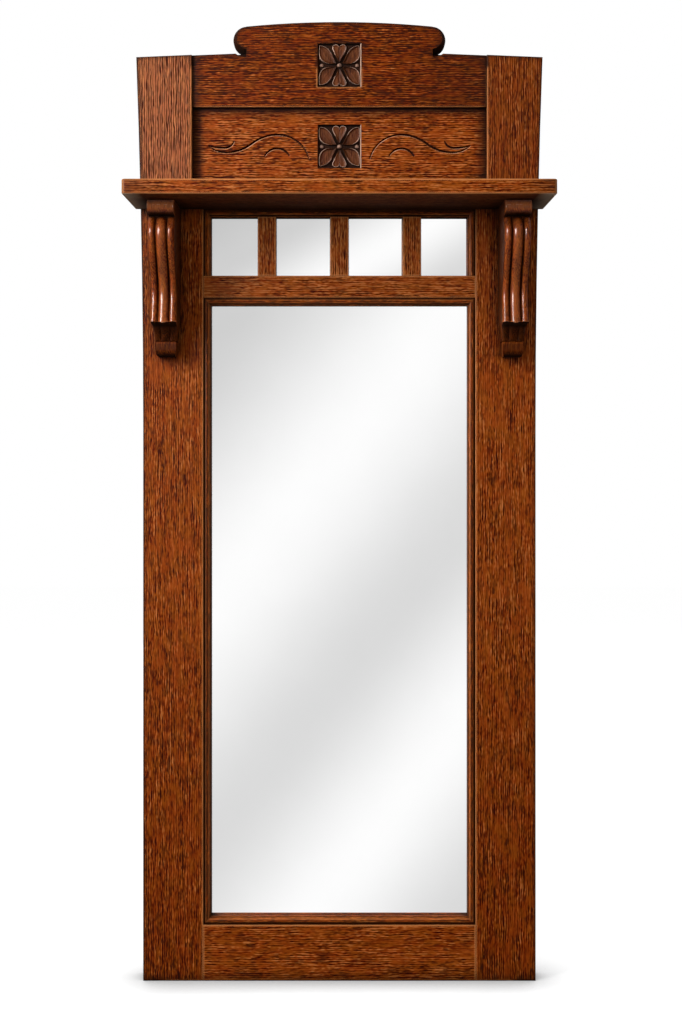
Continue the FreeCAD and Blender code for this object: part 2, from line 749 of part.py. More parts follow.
def scroll_cutters():
    """Grooves of the right-hand scroll: the long S line, the curl at its tip and the small arc below it."""
    def from_rosette(point):
        return (point[0], z_lower_rosette + point[1])

    def from_post(point):
        return (post_inner - point[0], z_lower_rosette + point[1])

    end, apex = from_rosette(SCROLL_END), from_rosette(SCROLL_APEX)
    trough, tip = from_post(SCROLL_TROUGH), from_post(SCROLL_TIP)
    turn = ((apex[0] + trough[0]) / 2, (apex[1] + trough[1]) / 2)
    curl_end, curl_low = from_post(CURL_END), from_post(CURL_LOW)
    arc_points = [from_rosette(point) for point in (ARC_INNER, ARC_APEX, ARC_OUTER)]
    return [
        scroll_line([end, apex, turn, trough, tip], [apex, trough]),
        scroll_line([curl_end, curl_low, tip], [curl_low]),
        scroll_line(arc_points, arc_points[1:2]),
    ]


def crest_panel():
    body_reach = post_inner - PANEL_CLEARANCE
    body = block(
        (-body_reach, body_reach),
        (panel_front, panel_front + PANEL_THICKNESS),
        (z_panel + PANEL_CLEARANCE, z_crest - PANEL_CLEARANCE),
    )
    solid = tongue_zone().fuse(body).removeSplitter()
    solid = solid.cut(rosette_pocket(panel_front, z_lower_rosette))
    for cutter in scroll_cutters():
        solid = solid.cut(cutter).cut(mirrored(cutter))
    return solid


def petal(outline, angle, y, z):
    """Petal from an outline of (out, across) arcs, turned by an angle about the rosette's middle."""
    cosine = math.cos(math.radians(angle))
    sine = math.sin(math.radians(angle))

    def at(point):
        out, across = point
        return V(out * cosine - across * sine, y, z + out * sine + across * cosine)

    edges = [arc(at(a), at(b), at(c)) for a, b, c in outline]
    return prism(edges, V(0, -PETAL_HEIGHT, 0))


def leaf_outline():
    middle = (LEAF_ROOT + LEAF_TIP) / 2
    root, tip = (LEAF_ROOT, 0), (LEAF_TIP, 0)
    return [(root, (middle, LEAF_HALF_WIDTH), tip), (tip, (middle, -LEAF_HALF_WIDTH), root)]


def heart_outline():
    root, cleft = (HEART_ROOT, 0), (HEART_CLEFT, 0)
    edges = []
    for side in (1, -1):
        shoulder = (HEART_SHOULDER, side * HEART_HALF_WIDTH)
        flank = ((HEART_ROOT + HEART_SHOULDER) / 2, side * HEART_FLANK)
        lobe = (HEART_LOBE, side * HEART_HALF_WIDTH / 2)
        run = [(root, flank, shoulder), (shoulder, lobe, cleft)]
        edges += run if side == 1 else [(c, b, a) for a, b, c in reversed(run)]
    return edges


def rosette(surface, z):
    """Carved flower on a square ground, seated on the floor of its pocket."""
    half = ROSETTE_SIZE / 2 - ROSETTE_CLEARANCE
    floor = surface + ROSETTE_DEPTH
    ground = floor - ROSETTE_GROUND
    pieces = [petal(leaf_outline(), angle, ground, z) for angle in (45, 135, 225, 315)]
    pieces += [petal(heart_outline(), angle, ground, z) for angle in (90, 270)]
    pieces.append(Part.makeSphere(BOSS_RADIUS, V(0, ground, z)))
    for side in (-1, 1):
        pieces.append(Part.makeSphere(SIDE_BOSS_RADIUS, V(side * SIDE_BOSS_REACH, ground, z)))
    tile = block((-half, half), (ground, floor), (z - half, z + half))
    room = block((-half, half), (surface, floor), (z - half, z + half))
    return tile.fuse(pieces).common(room).removeSplitter()


def hanger_screw_places():
    """The two screws of each strap, as (x, z)."""
    drops = (STRAP_SCREW_NEAR, STRAP_SCREW_FAR)
    return [(side * hanger_x, hanger_z - drop) for side in (-1, 1) for drop in drops]


def hanger_screw(x, z, grown=0.0):
    """Round-headed screw through a strap into the crest rail."""
    radius = SMALL_SCREW_DIAMETER / 2 + grown
    seat = crest_back + STRAP_THICKNESS
    shank = Part.makeCylinder(radius, HANGER_SCREW_LENGTH + grown, V(x, seat, z), V(0, -1, 0))
    if grown:
        return shank
    head = Part.makeCylinder(SMALL_SCREW_HEAD / 2, PAN_HEAD_HEIGHT, V(x, seat, z), V(0, 1, 0))
    rim = [edge for edge in head.Edges if edge.BoundBox.YMin > seat + PAN_HEAD_HEIGHT - SAME]
    head = head.makeFillet(PAN_HEAD_HEIGHT / 2, rim)
    top = seat + PAN_HEAD_HEIGHT
    half_slot = SLOT_WIDTH / 2
    across = (x - SMALL_SCREW_HEAD, x + SMALL_SCREW_HEAD)
    slot = block(across, (top - SLOT_DEPTH, top + CUT_PAST), (z - half_slot, z + half_slot))
    return head.cut(slot).fuse(shank).removeSplitter()


def hanger_screw_holes():
    return [hanger_screw(x, z, HOLE_CLEARANCE) for x, z in hanger_screw_places()]


def hanger_strap(x):
    """Folded strap: an eye round the ring's straight side, and a tail screwed to the crest rail."""
    left = x - STRAP_WIDTH / 2
    along = V(1, 0, 0)
    middle = V(left, hanger_y, hanger_z)
    eye = Part.makeCylinder(eye_radius, STRAP_WIDTH, middle, along)
    tail = block(
        (left, left + STRAP_WIDTH),
        (crest_back, crest_back + STRAP_THICKNESS),
        (hanger_z - STRAP_LENGTH, hanger_z),
    )
    bore = Part.makeCylinder(eye_radius - SHEET_THICKNESS, STRAP_WIDTH, middle, along)
    solid = eye.fuse(tail).cut(bore)
    return drilled(solid, hanger_screw_holes()).removeSplitter()


def hanger_ring(x):
    """D-shaped wire ring, standing up from its straight side in the strap's eye."""
    half = RING_INNER_WIDTH / 2 + RING_WIRE / 2
    corner = RING_CORNER
    turned = corner * (1 - math.sqrt(0.5))

    def at(across, up):
        return V(x + across, hanger_y, hanger_z + up)

    edges = [
        line(at(-half + corner, 0), at(half - corner, 0)),
        arc(at(half - corner, 0), at(half - turned, turned), at(half, corner)),
        line(at(half, corner), at(half, RING_LEG)),
        arc(at(half, RING_LEG), at(0, RING_LEG + half), at(-half, RING_LEG)),
        line(at(-half, RING_LEG), at(-half, corner)),
        arc(at(-half, corner), at(-half + turned, turned), at(-half + corner, 0)),
    ]
    path = Part.Wire(edges)
    ring = Part.makeCircle(RING_WIRE / 2, at(-half + corner, 0), V(1, 0, 0))
    return path.makePipeShell([Part.Wire([ring])], True, True)


def all_parts():
    """Every piece of the mirror by name."""
    stile = right_stile()
    corbel = right_corbel()
    parts = {
        "left_stile": mirrored(stile),
        "right_stile": stile,
        "bottom_rail": bottom_rail(),
        "transom_rail": transom_rail(),
        "shelf_rail": shelf_rail(),
        "crest_rail": crest_rail(),
        "crest_panel": crest_panel(),
        "upper_rosette": rosette(crest_front, z_upper_rosette),
        "lower_rosette": rosette(panel_front, z_lower_rosette),
        "shelf": shelf(),
        "left_corbel": mirrored(corbel),
        "right_corbel": corbel,
        "main_mirror": main_mirror(),
        "main_backboard": backboard(z_mirror - BOARD_REBATE, z_board_split),
        "lights_backboard": backboard(z_board_split, z_shelf + BOARD_TOP_REBATE),
        "light_fillets": light_fillets(),
        "backboard_screws": Part.makeCompound(board_screw_set()),
        "shelf_screws": Part.makeCompound(shelf_screw_set()),
        "corbel_screws": Part.makeCompound(corbel_screw_set()),
        "hanger_screws": Part.makeCompound([hanger_screw(x, z) for x, z in hanger_screw_places()]),
        "left_hanger_strap": hanger_strap(-hanger_x),
        "right_hanger_strap": hanger_strap(hanger_x),
        "left_hanger_ring": hanger_ring(-hanger_x),
        "right_hanger_ring": hanger_ring(hanger_x),
    }
    for number, x in enumerate(mullion_places, 1):
        parts[f"mullion_{number}"] = mullion(x)
    for number, bay in enumerate(light_bays(), 1):
        parts[f"light_mirror_{number}"] = light_mirror(bay)
    parts.update(sight_beads())
    parts.update(main_fillets())
    return parts


os.makedirs("parts", exist_ok=True)
for name, shape in all_parts().items():
    shape.exportStep(f"parts/{name}.step")
    print(name, len(shape.Solids), round(shape.Volume), shape.isValid())
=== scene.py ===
# %% [markdown]
# # An oak hall mirror
# The joiner's work is already done: a CAD model holds every board, pane and screw at its real size.
# This lesson only dresses it. Carved pieces get finer surfaces, every board gets its stain and grain,
# and a plain white studio is set up round it. Nothing here moves or resizes the joinery.

# %% Load the joinery
import math

import bpy
import numpy as np
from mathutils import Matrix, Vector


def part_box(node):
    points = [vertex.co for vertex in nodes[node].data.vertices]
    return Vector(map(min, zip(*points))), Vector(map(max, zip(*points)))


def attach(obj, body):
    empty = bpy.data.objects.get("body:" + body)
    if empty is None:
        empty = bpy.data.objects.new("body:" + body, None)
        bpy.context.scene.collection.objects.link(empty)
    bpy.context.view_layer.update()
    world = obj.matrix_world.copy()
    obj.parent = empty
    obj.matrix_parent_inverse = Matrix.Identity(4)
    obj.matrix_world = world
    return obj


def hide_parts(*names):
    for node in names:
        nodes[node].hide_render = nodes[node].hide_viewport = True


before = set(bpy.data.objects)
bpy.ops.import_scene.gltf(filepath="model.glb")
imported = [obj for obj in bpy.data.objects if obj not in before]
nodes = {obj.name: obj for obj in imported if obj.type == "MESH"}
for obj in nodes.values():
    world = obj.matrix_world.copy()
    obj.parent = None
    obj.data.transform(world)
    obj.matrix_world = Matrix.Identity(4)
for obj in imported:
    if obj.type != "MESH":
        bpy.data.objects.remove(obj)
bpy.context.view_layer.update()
print("pieces from the joiner:", len(nodes))

# %% [markdown]
# ## One way to make a carved piece
# A carved bracket, a flower tile and a grooved panel look different, but each can be thought of as a
# stack of closed rings, like slices of bread. One loft function then turns any stack into a closed
# mesh. Sculpting or booleans would also work, but rings worked out as whole arrays keep the edges
# where the carver put them, and the numbers stay readable. Lengths are in millimetres up to the loft,
# which turns them into Blender's metres.

# %% The loft
MM = 0.001
CREASE = math.radians(38)


def loft(name, rings):
    """Closed mesh through rings (rows, columns, 3): quads between neighbours, a flat cap at each end.
    The sum of the quads' volumes, seen from the origin, tells whether the faces point outwards."""
    rows, columns, _ = rings.shape
    index = np.arange(rows * columns).reshape(rows, columns)
    after = np.roll(index, -1, axis=1)
    quads = np.stack([index[:-1], after[:-1], after[1:], index[1:]], axis=-1).reshape(-1, 4)
    a, b, c, d = (rings.reshape(-1, 3)[quads[:, i]] for i in range(4))
    volume = np.einsum("ij,ij->i", a, np.cross(b, c) + np.cross(c, d)).sum()
    if volume < 0:
        quads = quads[:, ::-1]
        index = index[:, ::-1]
    faces = quads.tolist() + [index[0, ::-1].tolist(), index[-1].tolist()]
    mesh = bpy.data.meshes.new(name)
    mesh.from_pydata((rings.reshape(-1, 3) * MM).tolist(), [], faces)
    mesh.shade_smooth()
    mesh.set_sharp_from_angle(angle=CREASE)
    made = bpy.data.objects.new(name, mesh)
    bpy.context.scene.collection.objects.link(made)
    return made


print("edges that turn by more than", round(math.degrees(CREASE)), "degrees stay crisp")


# %% A carved piece takes the place of a node
def carve(name, node, slot, rings, wear_and_light):
    """Loft a carved piece for a node; its values run from -1 (grooves, painted shade) to 1 (crowns, painted
    highlights).
    """
    made = loft(name, rings)
    values = made.data.attributes.new("wear_and_light", "FLOAT", "POINT")
    values.data.foreach_set("value", wear_and_light.astype(np.float32).ravel())
    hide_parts(node)
    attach(made, "frame")
    print(name, "has", len(made.data.polygons), "faces")
    return made


def corners(node):
    """The lowest and the highest corner of a node's box, in millimetres."""
    return (np.array(corner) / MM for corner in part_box(node))


print("the left corbel's box, mm:", [np.round(corner, 1).tolist() for corner in corners("left_corbel")])

# %% [markdown]
# ## The corbels
# Two carved brackets seem to carry the shelf. Each has a small cap, then three reeds that run down an
# S curve to a squared lip, a dark hollow under the lip, and a little toe. A curve with a bevel could
# draw the reeds one by one, but they have to merge at the lip. So the rings are level slices: one path
# gives how far the bracket stands out at each drop below the shelf, and one profile across gives the
# three reeds. That keeps the reeds crisp from cap to lip.

# %% The S curve and the reeds
CORBEL_HALF = 14.5
REED_START, NECK_OUT = 17.0, 62.0
BULGE_DROP, BULGE_OUT = 34.0, 69.8
WAIST_DROP, WAIST_OUT = 103.0, 42.0
FLARE_BEND, FLARE_SLOPE = 9.0, 0.28
LIP_DROP = 132.0
REED_FLOOR = 4.8
# Centre, radius and crest height of each reed.
REEDS = ((0.0, 6.0, REED_FLOOR), (-10.4, 3.7, 3.4), (10.4, 3.7, 3.4))


def s_curve(drop):
    """How far the reeds stand out at a drop: half cosine waves from neck to bulge to waist, then a flare
    whose slope grows over the first few millimetres and then stays the same down to the lip."""
    turns = [(REED_START, NECK_OUT), (BULGE_DROP, BULGE_OUT), (WAIST_DROP, WAIST_OUT)]
    depth = np.zeros_like(drop)
    for (top, out_top), (low, out_low) in zip(turns, turns[1:]):
        share = np.clip((drop - top) / (low - top), 0, 1)
        wave = out_top + (out_low - out_top) * (1 - np.cos(math.pi * share)) / 2
        depth = np.where(drop >= top, wave, depth)
    below = np.maximum(drop - WAIST_DROP, 0)
    bend = np.minimum(below, FLARE_BEND)
    return depth + FLARE_SLOPE * (bend ** 2 / (2 * FLARE_BEND) + below - bend)


def reeds(across, below):
    """Height of three rounded reeds, each a half cylinder whose top end is a quarter of a ball."""
    height = np.zeros(np.broadcast(across, below).shape)
    for centre, radius, crest in REEDS:
        short = np.maximum(radius - below, 0)
        square = radius ** 2 - (across - centre) ** 2 - short ** 2
        reed = np.sqrt(np.maximum(square, 0)) - radius + crest
        height = np.maximum(height, reed)
    return height


print("the lip stands out", round(s_curve(np.array([LIP_DROP]))[0], 1), "mm")

# %% The path down a corbel
CAP_OUT, CAP_ROLL, CAP_HEIGHT = 71.8, 6.8, 15.6
HOLLOW_DROP, HOLLOW_HEIGHT = 136.0, 16.6
TOE_HALF, TOE_OUT, TOE_DROP = 11.5, 21.0, 153.0
TOE_BEND, TOE_ROUND = 161.5, 8.4


def stretch(out, drop, half, strength):
    """Rows of one stretch of the path; a plain number stands for the whole stretch."""
    return np.stack(np.broadcast_arrays(out, drop, half, strength), axis=1).astype(float)


def corbel_path():
    """Rows of (stand-out, drop, half width, reed strength) from the cap's top to the toe's foot."""
    turn = np.linspace(-math.pi / 2, math.pi / 2, 19)
    run = np.linspace(REED_START, LIP_DROP, 130)
    sink = np.linspace(0, 1, 14)
    quarter = np.linspace(0, math.pi / 2, 9)[1:]
    return np.concatenate([
        # The rolled cap, and the neck under it.
        stretch(CAP_OUT - CAP_ROLL + CAP_ROLL * np.cos(turn),
                CAP_HEIGHT / 2 + (CAP_HEIGHT / 2 - 0.1) * np.sin(turn), CORBEL_HALF, 0.0),
        stretch(np.array([61.0, 57.3]), np.array([15.9, 16.6]), np.array([14.4, 14.2]), 0.0),
        # The reeds down to the lip, and the step in under it.
        stretch(s_curve(run) - REED_FLOOR, run, CORBEL_HALF, 1.0),
        stretch(np.array([43.6, 41.0, 33.5]), np.array([132.7, 133.4, 134.9]),
                np.array([14.4, 14.2, 13.8]), np.array([0.95, 0.8, 0.6])),
        # The hollow, in which the reeds fade out.
        stretch(29.5 - 9.0 * np.sin(sink * math.pi / 2) ** 0.8, HOLLOW_DROP + HOLLOW_HEIGHT * sink,
                13.5 - 1.8 * sink, 0.6 * (1 - sink ** 4)),
        # The toe: a small step out, an upright face and a rounded foot.
        stretch(np.array([20.0, 20.8]), np.array([TOE_DROP, 153.9]), np.array([10.7, TOE_HALF]), 0.0),
        stretch(TOE_OUT, np.linspace(154.6, TOE_BEND, 5), TOE_HALF, 0.0),
        stretch(TOE_OUT - TOE_ROUND * (1 - np.cos(quarter)), TOE_BEND + TOE_ROUND * np.sin(quarter),
                TOE_HALF - 1.6 * np.sin(quarter) ** 3, 0.0),
    ])


print("level slices down a corbel:", len(corbel_path()))


# %% How a corbel is worn, and where light and shade are painted on it
def corbel_wear_and_light(drop, share, height, strength):
    """How the front of each slice is painted: paler with the height of the reeds, and the cap palest along
    its roll and at its ends, partly from rubbing and partly a painted highlight. The grooves get painted
    shade where the S curve turns inwards, and the lip's edge a painted highlight line."""
    roll = 0.94 - 0.9 * np.abs(drop - 6.0) / 9.0 + 0.3 * (np.abs(share) > 0.9)
    shadowed = 0.6 * np.exp(-((drop - 78.0) / 24.0) ** 2) * (1 - height / REED_FLOOR)
    crown = np.where(strength > 0, height / REED_FLOOR - 0.45 - shadowed, roll)
    return np.where(np.abs(drop - LIP_DROP) < 0.2, 1.0, crown)


def dark_places(drop, wear_and_light):
    """The same values with painted shade in the neck and in the hollow under the lip, and a darker toe, all
    across.
    """
    wear_and_light = np.where((drop > CAP_HEIGHT) & (drop < REED_START + 1.0), -0.8, wear_and_light)
    wear_and_light = np.where((drop > LIP_DROP + 0.5) & (drop < TOE_DROP), -0.75, wear_and_light)
    return np.where(drop >= TOE_DROP, np.where(drop < TOE_DROP + 3.0, -0.5, -0.68), wear_and_light)


print("the neck is dark from", CAP_HEIGHT, "to", REED_START + 1.0, "mm below the shelf")

# %% The corbels as rings
# Both flanks of a corbel are painted dark: painted shade.
FLANK_SHADE = -0.95


def corbel_rings(node):
    """Level slices: back to front along one side, across the reeds, and back along the other side.
    A shallow vee is notched into the middle of the lip."""
    low, high = corners(node)
    out, drop, half, strength = np.hsplit(corbel_path(), 4)
    share = np.linspace(-1, 1, 59)[None, :]
    height = reeds(share * CORBEL_HALF, np.maximum(drop - REED_START, 0)) * strength
    notch = 1.7 * np.clip(1 - np.abs(share * CORBEL_HALF) / 4.6, 0, 1) * (np.abs(drop - LIP_DROP) < 1.5)
    side = np.linspace(0, 1, 7)[None, :-1]
    edge = out + height[:, :1]
    depth = np.concatenate([side * edge, out + height, (side * edge)[:, ::-1]], axis=1)
    lowered = np.concatenate([drop + 0 * side, drop + notch, drop + 0 * side], axis=1)
    spread = np.concatenate([-half + 0 * side, half * share, half + 0 * side], axis=1)
    middle = (low[0] + high[0]) / 2
    rings = np.stack([middle + spread, high[1] - depth, high[2] - lowered], axis=-1)
    flank = FLANK_SHADE + 0 * out * side
    wear_and_light = np.concatenate([flank, corbel_wear_and_light(drop, share, height, strength), flank], axis=1)
    return rings, dark_places(drop, wear_and_light)


left_corbel = carve("left_reeded_corbel", "left_corbel", "stained_oak", *corbel_rings("left_corbel"))
right_corbel = carve("right_reeded_corbel", "right_corbel", "stained_oak", *corbel_rings("right_corbel"))

# %% [markdown]
# ## The flower tiles
# Two square tiles let into the crest carry a six-petalled flower: four leaf-shaped petals towards the
# corners, and a heart above and below. The carver sank the ground and left each petal with a raised
# rim and a hollow inside. Sculpting would do, but a height map says it all, because nothing undercuts:
# each petal is a distance from its own outline, turned into a rim and a hollow.

# %% Petals as heights
PETAL_RIM = 2.9
LEAF_START, LEAF_LENGTH, LEAF_BOW, LEAF_HALF = 3.4, 28.6, 3.6, 7.6
HEART_START, HEART_LENGTH, HEART_HALF, HEART_LOBE, LOBE_RISE = 4.2, 15.0, 7.6, 4.1, 20.2


def rim_and_hollow(inside, hollow):
    """Height from the distance inside an outline: a steep wall, a rounded rim, then a hollow floor."""
    wall = np.clip(inside / 0.55, 0, 1)
    dish = np.clip((inside - 0.8) / 2.2, 0, 1)
    dish = dish * dish * (3 - 2 * dish)
    return PETAL_RIM * wall - hollow * dish


def leaf(x, z):
    """Distance inside one corner leaf and off its rib: broad, bowed to the side, with a drawn-out tip."""
    along = (x + z) / math.sqrt(2)
    share = np.clip((along - LEAF_START) / LEAF_LENGTH, 0, 1)
    rib = (z - x) / math.sqrt(2) + LEAF_BOW * np.sin(math.pi * share ** 0.75)
    half = LEAF_HALF * np.sin(math.pi * share ** 1.2) ** 0.75
    return np.where((share > 0) & (share < 1), half - np.abs(rib), -1.0), rib


def heart(x, z):
    """Distance inside one heart: a wedge that widens upwards and ends in two round lobes."""
    side = np.abs(x)
    half = 0.7 + HEART_HALF * np.clip((z - HEART_START) / HEART_LENGTH, 0, 1) ** 0.85
    top = LOBE_RISE + np.sqrt(np.maximum(HEART_LOBE ** 2 - (side - HEART_LOBE) ** 2, 0))
    return np.where(z > HEART_START, np.minimum(half - side, top - z), -1.0)


def ball(x, z, reach, radius, height):
    """A small round boss at a reach out from the middle."""
    square = 1 - ((np.abs(x) - reach) ** 2 + z ** 2) / radius ** 2
    return height * np.sqrt(np.maximum(square, 0))


print("a leaf is", LEAF_LENGTH, "mm long and", 2 * LEAF_HALF, "mm wide")

# %% Pale rims with painted highlights, a dark ground, and painted light and shade on the sunk walls
RUB_START, RUB_RUN = 8.0, 9.0


def tile_wear_and_light(x, z, half, border, bosses, outline, leaf_side):
    """How a tile is painted: pale along the rims, most towards the corners and a little unevenly, partly from
    rubbing and partly a painted highlight, and darker in the hollows near the middle and on the ground. Of
    the sunk walls, the right one is painted lit, a painted highlight, and the others get painted shade."""
    away = np.hypot(x, z)
    rubbed_and_lit = np.clip((away - RUB_START) / RUB_RUN, 0, 1) * np.where(leaf_side, 0.6, 1.0)
    uneven = 0.8 + 0.2 * np.sin(0.8 * x + 1.1 * z) * np.sin(0.5 * x - 0.9 * z)
    rim = 1.9 * rubbed_and_lit * uneven * np.exp(-((outline - 0.5) / 0.5) ** 2)
    hollow = -0.6 + 0.6 * np.clip((away - 4.0) / 17.0, 0, 1)
    painted = np.where(outline > 0, rim + hollow, -0.7)
    painted = np.where(bosses > 0.6, 0.5, painted)
    lit_wall = np.where(x > half - 1.0, 0.95, -0.45)
    return np.where((border > 0) & (outline < 0), lit_wall, np.clip(painted, -1, 1))


print("rims are rubbed palest from", RUB_START + RUB_RUN, "mm off the middle of the flower")

# %% The tiles as rings
TILE_RISE, TILE_BASE = 3.6, 2.4


def tile_rings(node):
    """Rings of constant height across a tile: the carved front, then two points along its back."""
    low, high = corners(node)
    middle = (low + high) / 2
    half = high[0] - middle[0]
    line = np.linspace(-half, half, 169)
    x, z = np.meshgrid(line, line)
    border = np.clip((np.maximum(np.abs(x), np.abs(z)) - half + 1.5) / 1.3, 0, 1) * TILE_RISE
    leaf_inside, rib = leaf(np.abs(x), np.abs(z))
    heart_inside = heart(x, np.abs(z))
    veins = 0.15 * np.exp(-(rib / 0.6) ** 2) * np.clip(leaf_inside - 1.5, 0, 1)
    clefts = 0.3 * np.exp(-(x / 0.5) ** 2) * (heart_inside > 0.5)
    leaves = rim_and_hollow(leaf_inside, 1.5) + veins
    hearts = rim_and_hollow(heart_inside, 0.7) - clefts
    on_heart = heart_inside > -0.5
    bosses = np.maximum(ball(x, z, 0.0, 2.8, 3.2), ball(x, z, 20.4, 2.4, 2.2))
    height = np.maximum.reduce([np.zeros_like(x), border, np.where(on_heart, hearts, leaves), bosses])
    front = np.stack([middle[0] + x, high[1] - TILE_BASE - height, middle[2] + z], axis=-1)
    back = front[:, [-1, 0]].copy()
    back[..., 1] = high[1]
    outline = np.where(on_heart, heart_inside, leaf_inside)
    leaf_side = (rib > 0) & (heart_inside < -0.5)
    painted = tile_wear_and_light(x, z, half, border, bosses, outline, leaf_side)
    wear_and_light = np.concatenate([painted, 0 * x[:, :2]], axis=1)
    return np.concatenate([front, back], axis=1), wear_and_light


upper_flower = carve("upper_flower_tile", "upper_rosette", "dark_carved_oak", *tile_rings("upper_rosette"))
lower_flower = carve("lower_flower_tile", "lower_rosette", "dark_carved_oak", *tile_rings("lower_rosette"))

# %% [markdown]
# ## The panel and its scroll lines
# Between the posts lies a thin panel with a long S-shaped line cut on each side of the flower, a small
# curl at its tip and a short arc below it. A gouge makes such a line: narrow where it starts and
# leaves, and deepest on the way. A boolean with a bent wedge could cut it, but its ends would be blunt.
# So each line is a run of points with a width, and the panel's front is lowered by how near it is to
# the closest point. The grid is fine only where the lines are.

# %% The scroll lines
END, APEX, TROUGH, TIP = (35.2, -14.0), (70.8, 13.2), (130.6, -7.2), (150.8, 0.4)
CURL_END, CURL_LOW = (121.4, 5.8), (132.0, -2.0)
ARC_INNER, ARC_APEX, ARC_OUTER = (57.8, -10.7), (71.6, -2.6), (86.1, -11.5)
TURN = ((APEX[0] + TROUGH[0]) / 2, (APEX[1] + TROUGH[1]) / 2)


def level_arc(level, end, count=60):
    """Points of the arc that runs level at its first point and goes through the second."""
    across, up = end[0] - level[0], end[1] - level[1]
    radius = (across ** 2 + up ** 2) / (2 * up)
    turn = 2 * math.atan2(abs(up), abs(across))
    angle = np.linspace(0, turn, count)
    x = level[0] + math.copysign(1, across) * abs(radius) * np.sin(angle)
    z = level[1] + radius * (1 - np.cos(angle))
    return np.stack([x, z], axis=-1)


def gouged(*runs):
    """Points and half widths of one line: narrow at both ends, widest between them."""
    points = np.concatenate(runs)
    share = np.linspace(0, 1, len(points))
    return points, 0.8 + 0.8 * np.sin(math.pi * share) ** 0.6


scroll_lines = [
    gouged(level_arc(APEX, END)[::-1], level_arc(APEX, TURN), level_arc(TROUGH, TURN)[::-1],
           level_arc(TROUGH, TIP)),
    gouged(level_arc(CURL_LOW, CURL_END)[::-1], level_arc(CURL_LOW, TIP)),
    gouged(level_arc(ARC_APEX, ARC_INNER)[::-1], level_arc(ARC_APEX, ARC_OUTER)),
]
print("points along the scroll lines:", [len(points) for points, half in scroll_lines])

# %% The cut of the gouge
CUT_STEEPNESS = 1.25


def cut_depth(x, z):
    """How deep the scroll lines are cut, a vee a little deeper than its half width, and how far a spot
    lies up its flank, towards the lamp at the upper left."""
    depth, rise = np.zeros_like(x), np.zeros_like(x)
    for points, half in scroll_lines:
        squared = (np.abs(x)[..., None] - points[:, 0]) ** 2 + (z[..., None] - points[:, 1]) ** 2
        nearest = squared.argmin(axis=-1)
        away = np.sqrt(np.take_along_axis(squared, nearest[..., None], axis=-1)[..., 0])
        width = half[nearest]
        vee = CUT_STEEPNESS * width * np.clip(1 - away / width, 0, 1)
        above = 0.8 * (z - points[nearest, 1]) - 0.6 * np.sign(x) * (np.abs(x) - points[nearest, 0])
        rise = np.where(vee > depth, above / width, rise)
        depth = np.maximum(depth, vee)
    return depth, rise


print("deepest cut, mm:", round(CUT_STEEPNESS * max(half.max() for points, half in scroll_lines), 2))

# %% The panel as rings
TONGUE, TONGUE_THICK, POCKET_DEEP = 6.0, 5.0, 6.0
POCKET_SLACK, STEP = 0.2, 0.02


def panel_grid(low, high, pocket, rise):
    """Lines across and up the panel, measured from the flower's middle: fine where the scrolls are cut,
    and in pairs where the pocket and the tongue step."""
    reach = high[0] - TONGUE
    bottom, top = low[2] + TONGUE - rise, high[2] - TONGUE - rise
    right = np.concatenate([[0.0, pocket - STEP, pocket, 29.0], np.arange(32.0, 153.5, 0.45),
                            [160.0, reach, high[0]]])
    across = np.concatenate([-right[:0:-1], right])
    up = np.concatenate([[low[2] - rise, bottom - STEP / 2, bottom, -pocket, -pocket + STEP, -20.0],
                         np.arange(-16.0, 16.0, 0.42),
                         [20.0, pocket - STEP, pocket, top, top + STEP / 2, high[2] - rise]])
    return across, up, (up >= bottom) & (up <= top)


def panel_rings():
    """Rings across the panel: the cut front, a pocket behind the flower, and a thinner tongue all round."""
    low, high = corners("crest_panel")
    tile_low, tile_high = corners("lower_rosette")
    rise = (tile_low[2] + tile_high[2]) / 2
    pocket = tile_high[0] + POCKET_SLACK
    across, up, in_body = panel_grid(low, high, pocket, rise)
    x, z = np.meshgrid(across, up)
    cut, rise_up = cut_depth(x, z)
    inside = (np.abs(x) < pocket - STEP / 2) & (np.abs(z) < pocket - STEP / 2)
    front = np.stack([x, low[1] + np.where(inside, POCKET_DEEP, cut), rise + z], axis=-1)
    reach = high[0] - TONGUE
    behind = np.array([high[0], reach, reach, -reach, -reach, -high[0]])
    body = in_body[:, None] & (np.arange(6) // 2 == 1)
    thickness = np.where(body, high[1] - low[1], TONGUE_THICK)
    back = np.stack([behind + 0 * thickness, low[1] + thickness, rise + z[:, :6]], axis=-1)
    # Each cut: the flank away from the lamp gets painted shade, the flank towards it a painted highlight.
    flank = np.where(rise_up > -0.25, -np.clip(cut / 0.5, 0, 1), np.clip(cut / 0.3, 0, 1))
    wear_and_light = np.concatenate([flank, 0 * thickness], axis=1)
    return np.concatenate([front, back], axis=1), wear_and_light


crest_field = carve("scrolled_crest_panel", "crest_panel", "stained_oak", *panel_rings())

# %% [markdown]
# ## Building finishes from nodes
# A finish is a small network of nodes. One function adds a node, sets its properties and sockets, and
# joins it to the nodes before it, so that each finish below reads from top to bottom like a recipe.
# Colours are written as the hex codes that a picture editor shows and turned to linear light once.
# A Mix node mixes colours here: it takes the share in socket 0 and the two colours in sockets 6 and 7.

# %% Colours and nodes
NOISE, RAMP, MAPPING = "ShaderNodeTexNoise", "ShaderNodeValToRGB", "ShaderNodeMapping"
MATH, RANGE, MIX = "ShaderNodeMath", "ShaderNodeMapRange", "ShaderNodeMix"
VECTOR, AXES, GEOMETRY = "ShaderNodeVectorMath", "ShaderNodeSeparateXYZ", "ShaderNodeNewGeometry"
OCCLUSION, ROUNDING = "ShaderNodeAmbientOcclusion", "ShaderNodeBevel"


def linear(code):
    """Hex code to linear RGBA: a channel c becomes ((c + 0.055) / 1.055) ** 2.4, or c / 12.92 when dark."""
    channels = np.array([int(code[i:i + 2], 16) / 255 for i in (1, 3, 5)])
    bright = ((channels + 0.055) / 1.055) ** 2.4
    return (*np.where(channels <= 0.04045, channels / 12.92, bright).tolist(), 1.0)


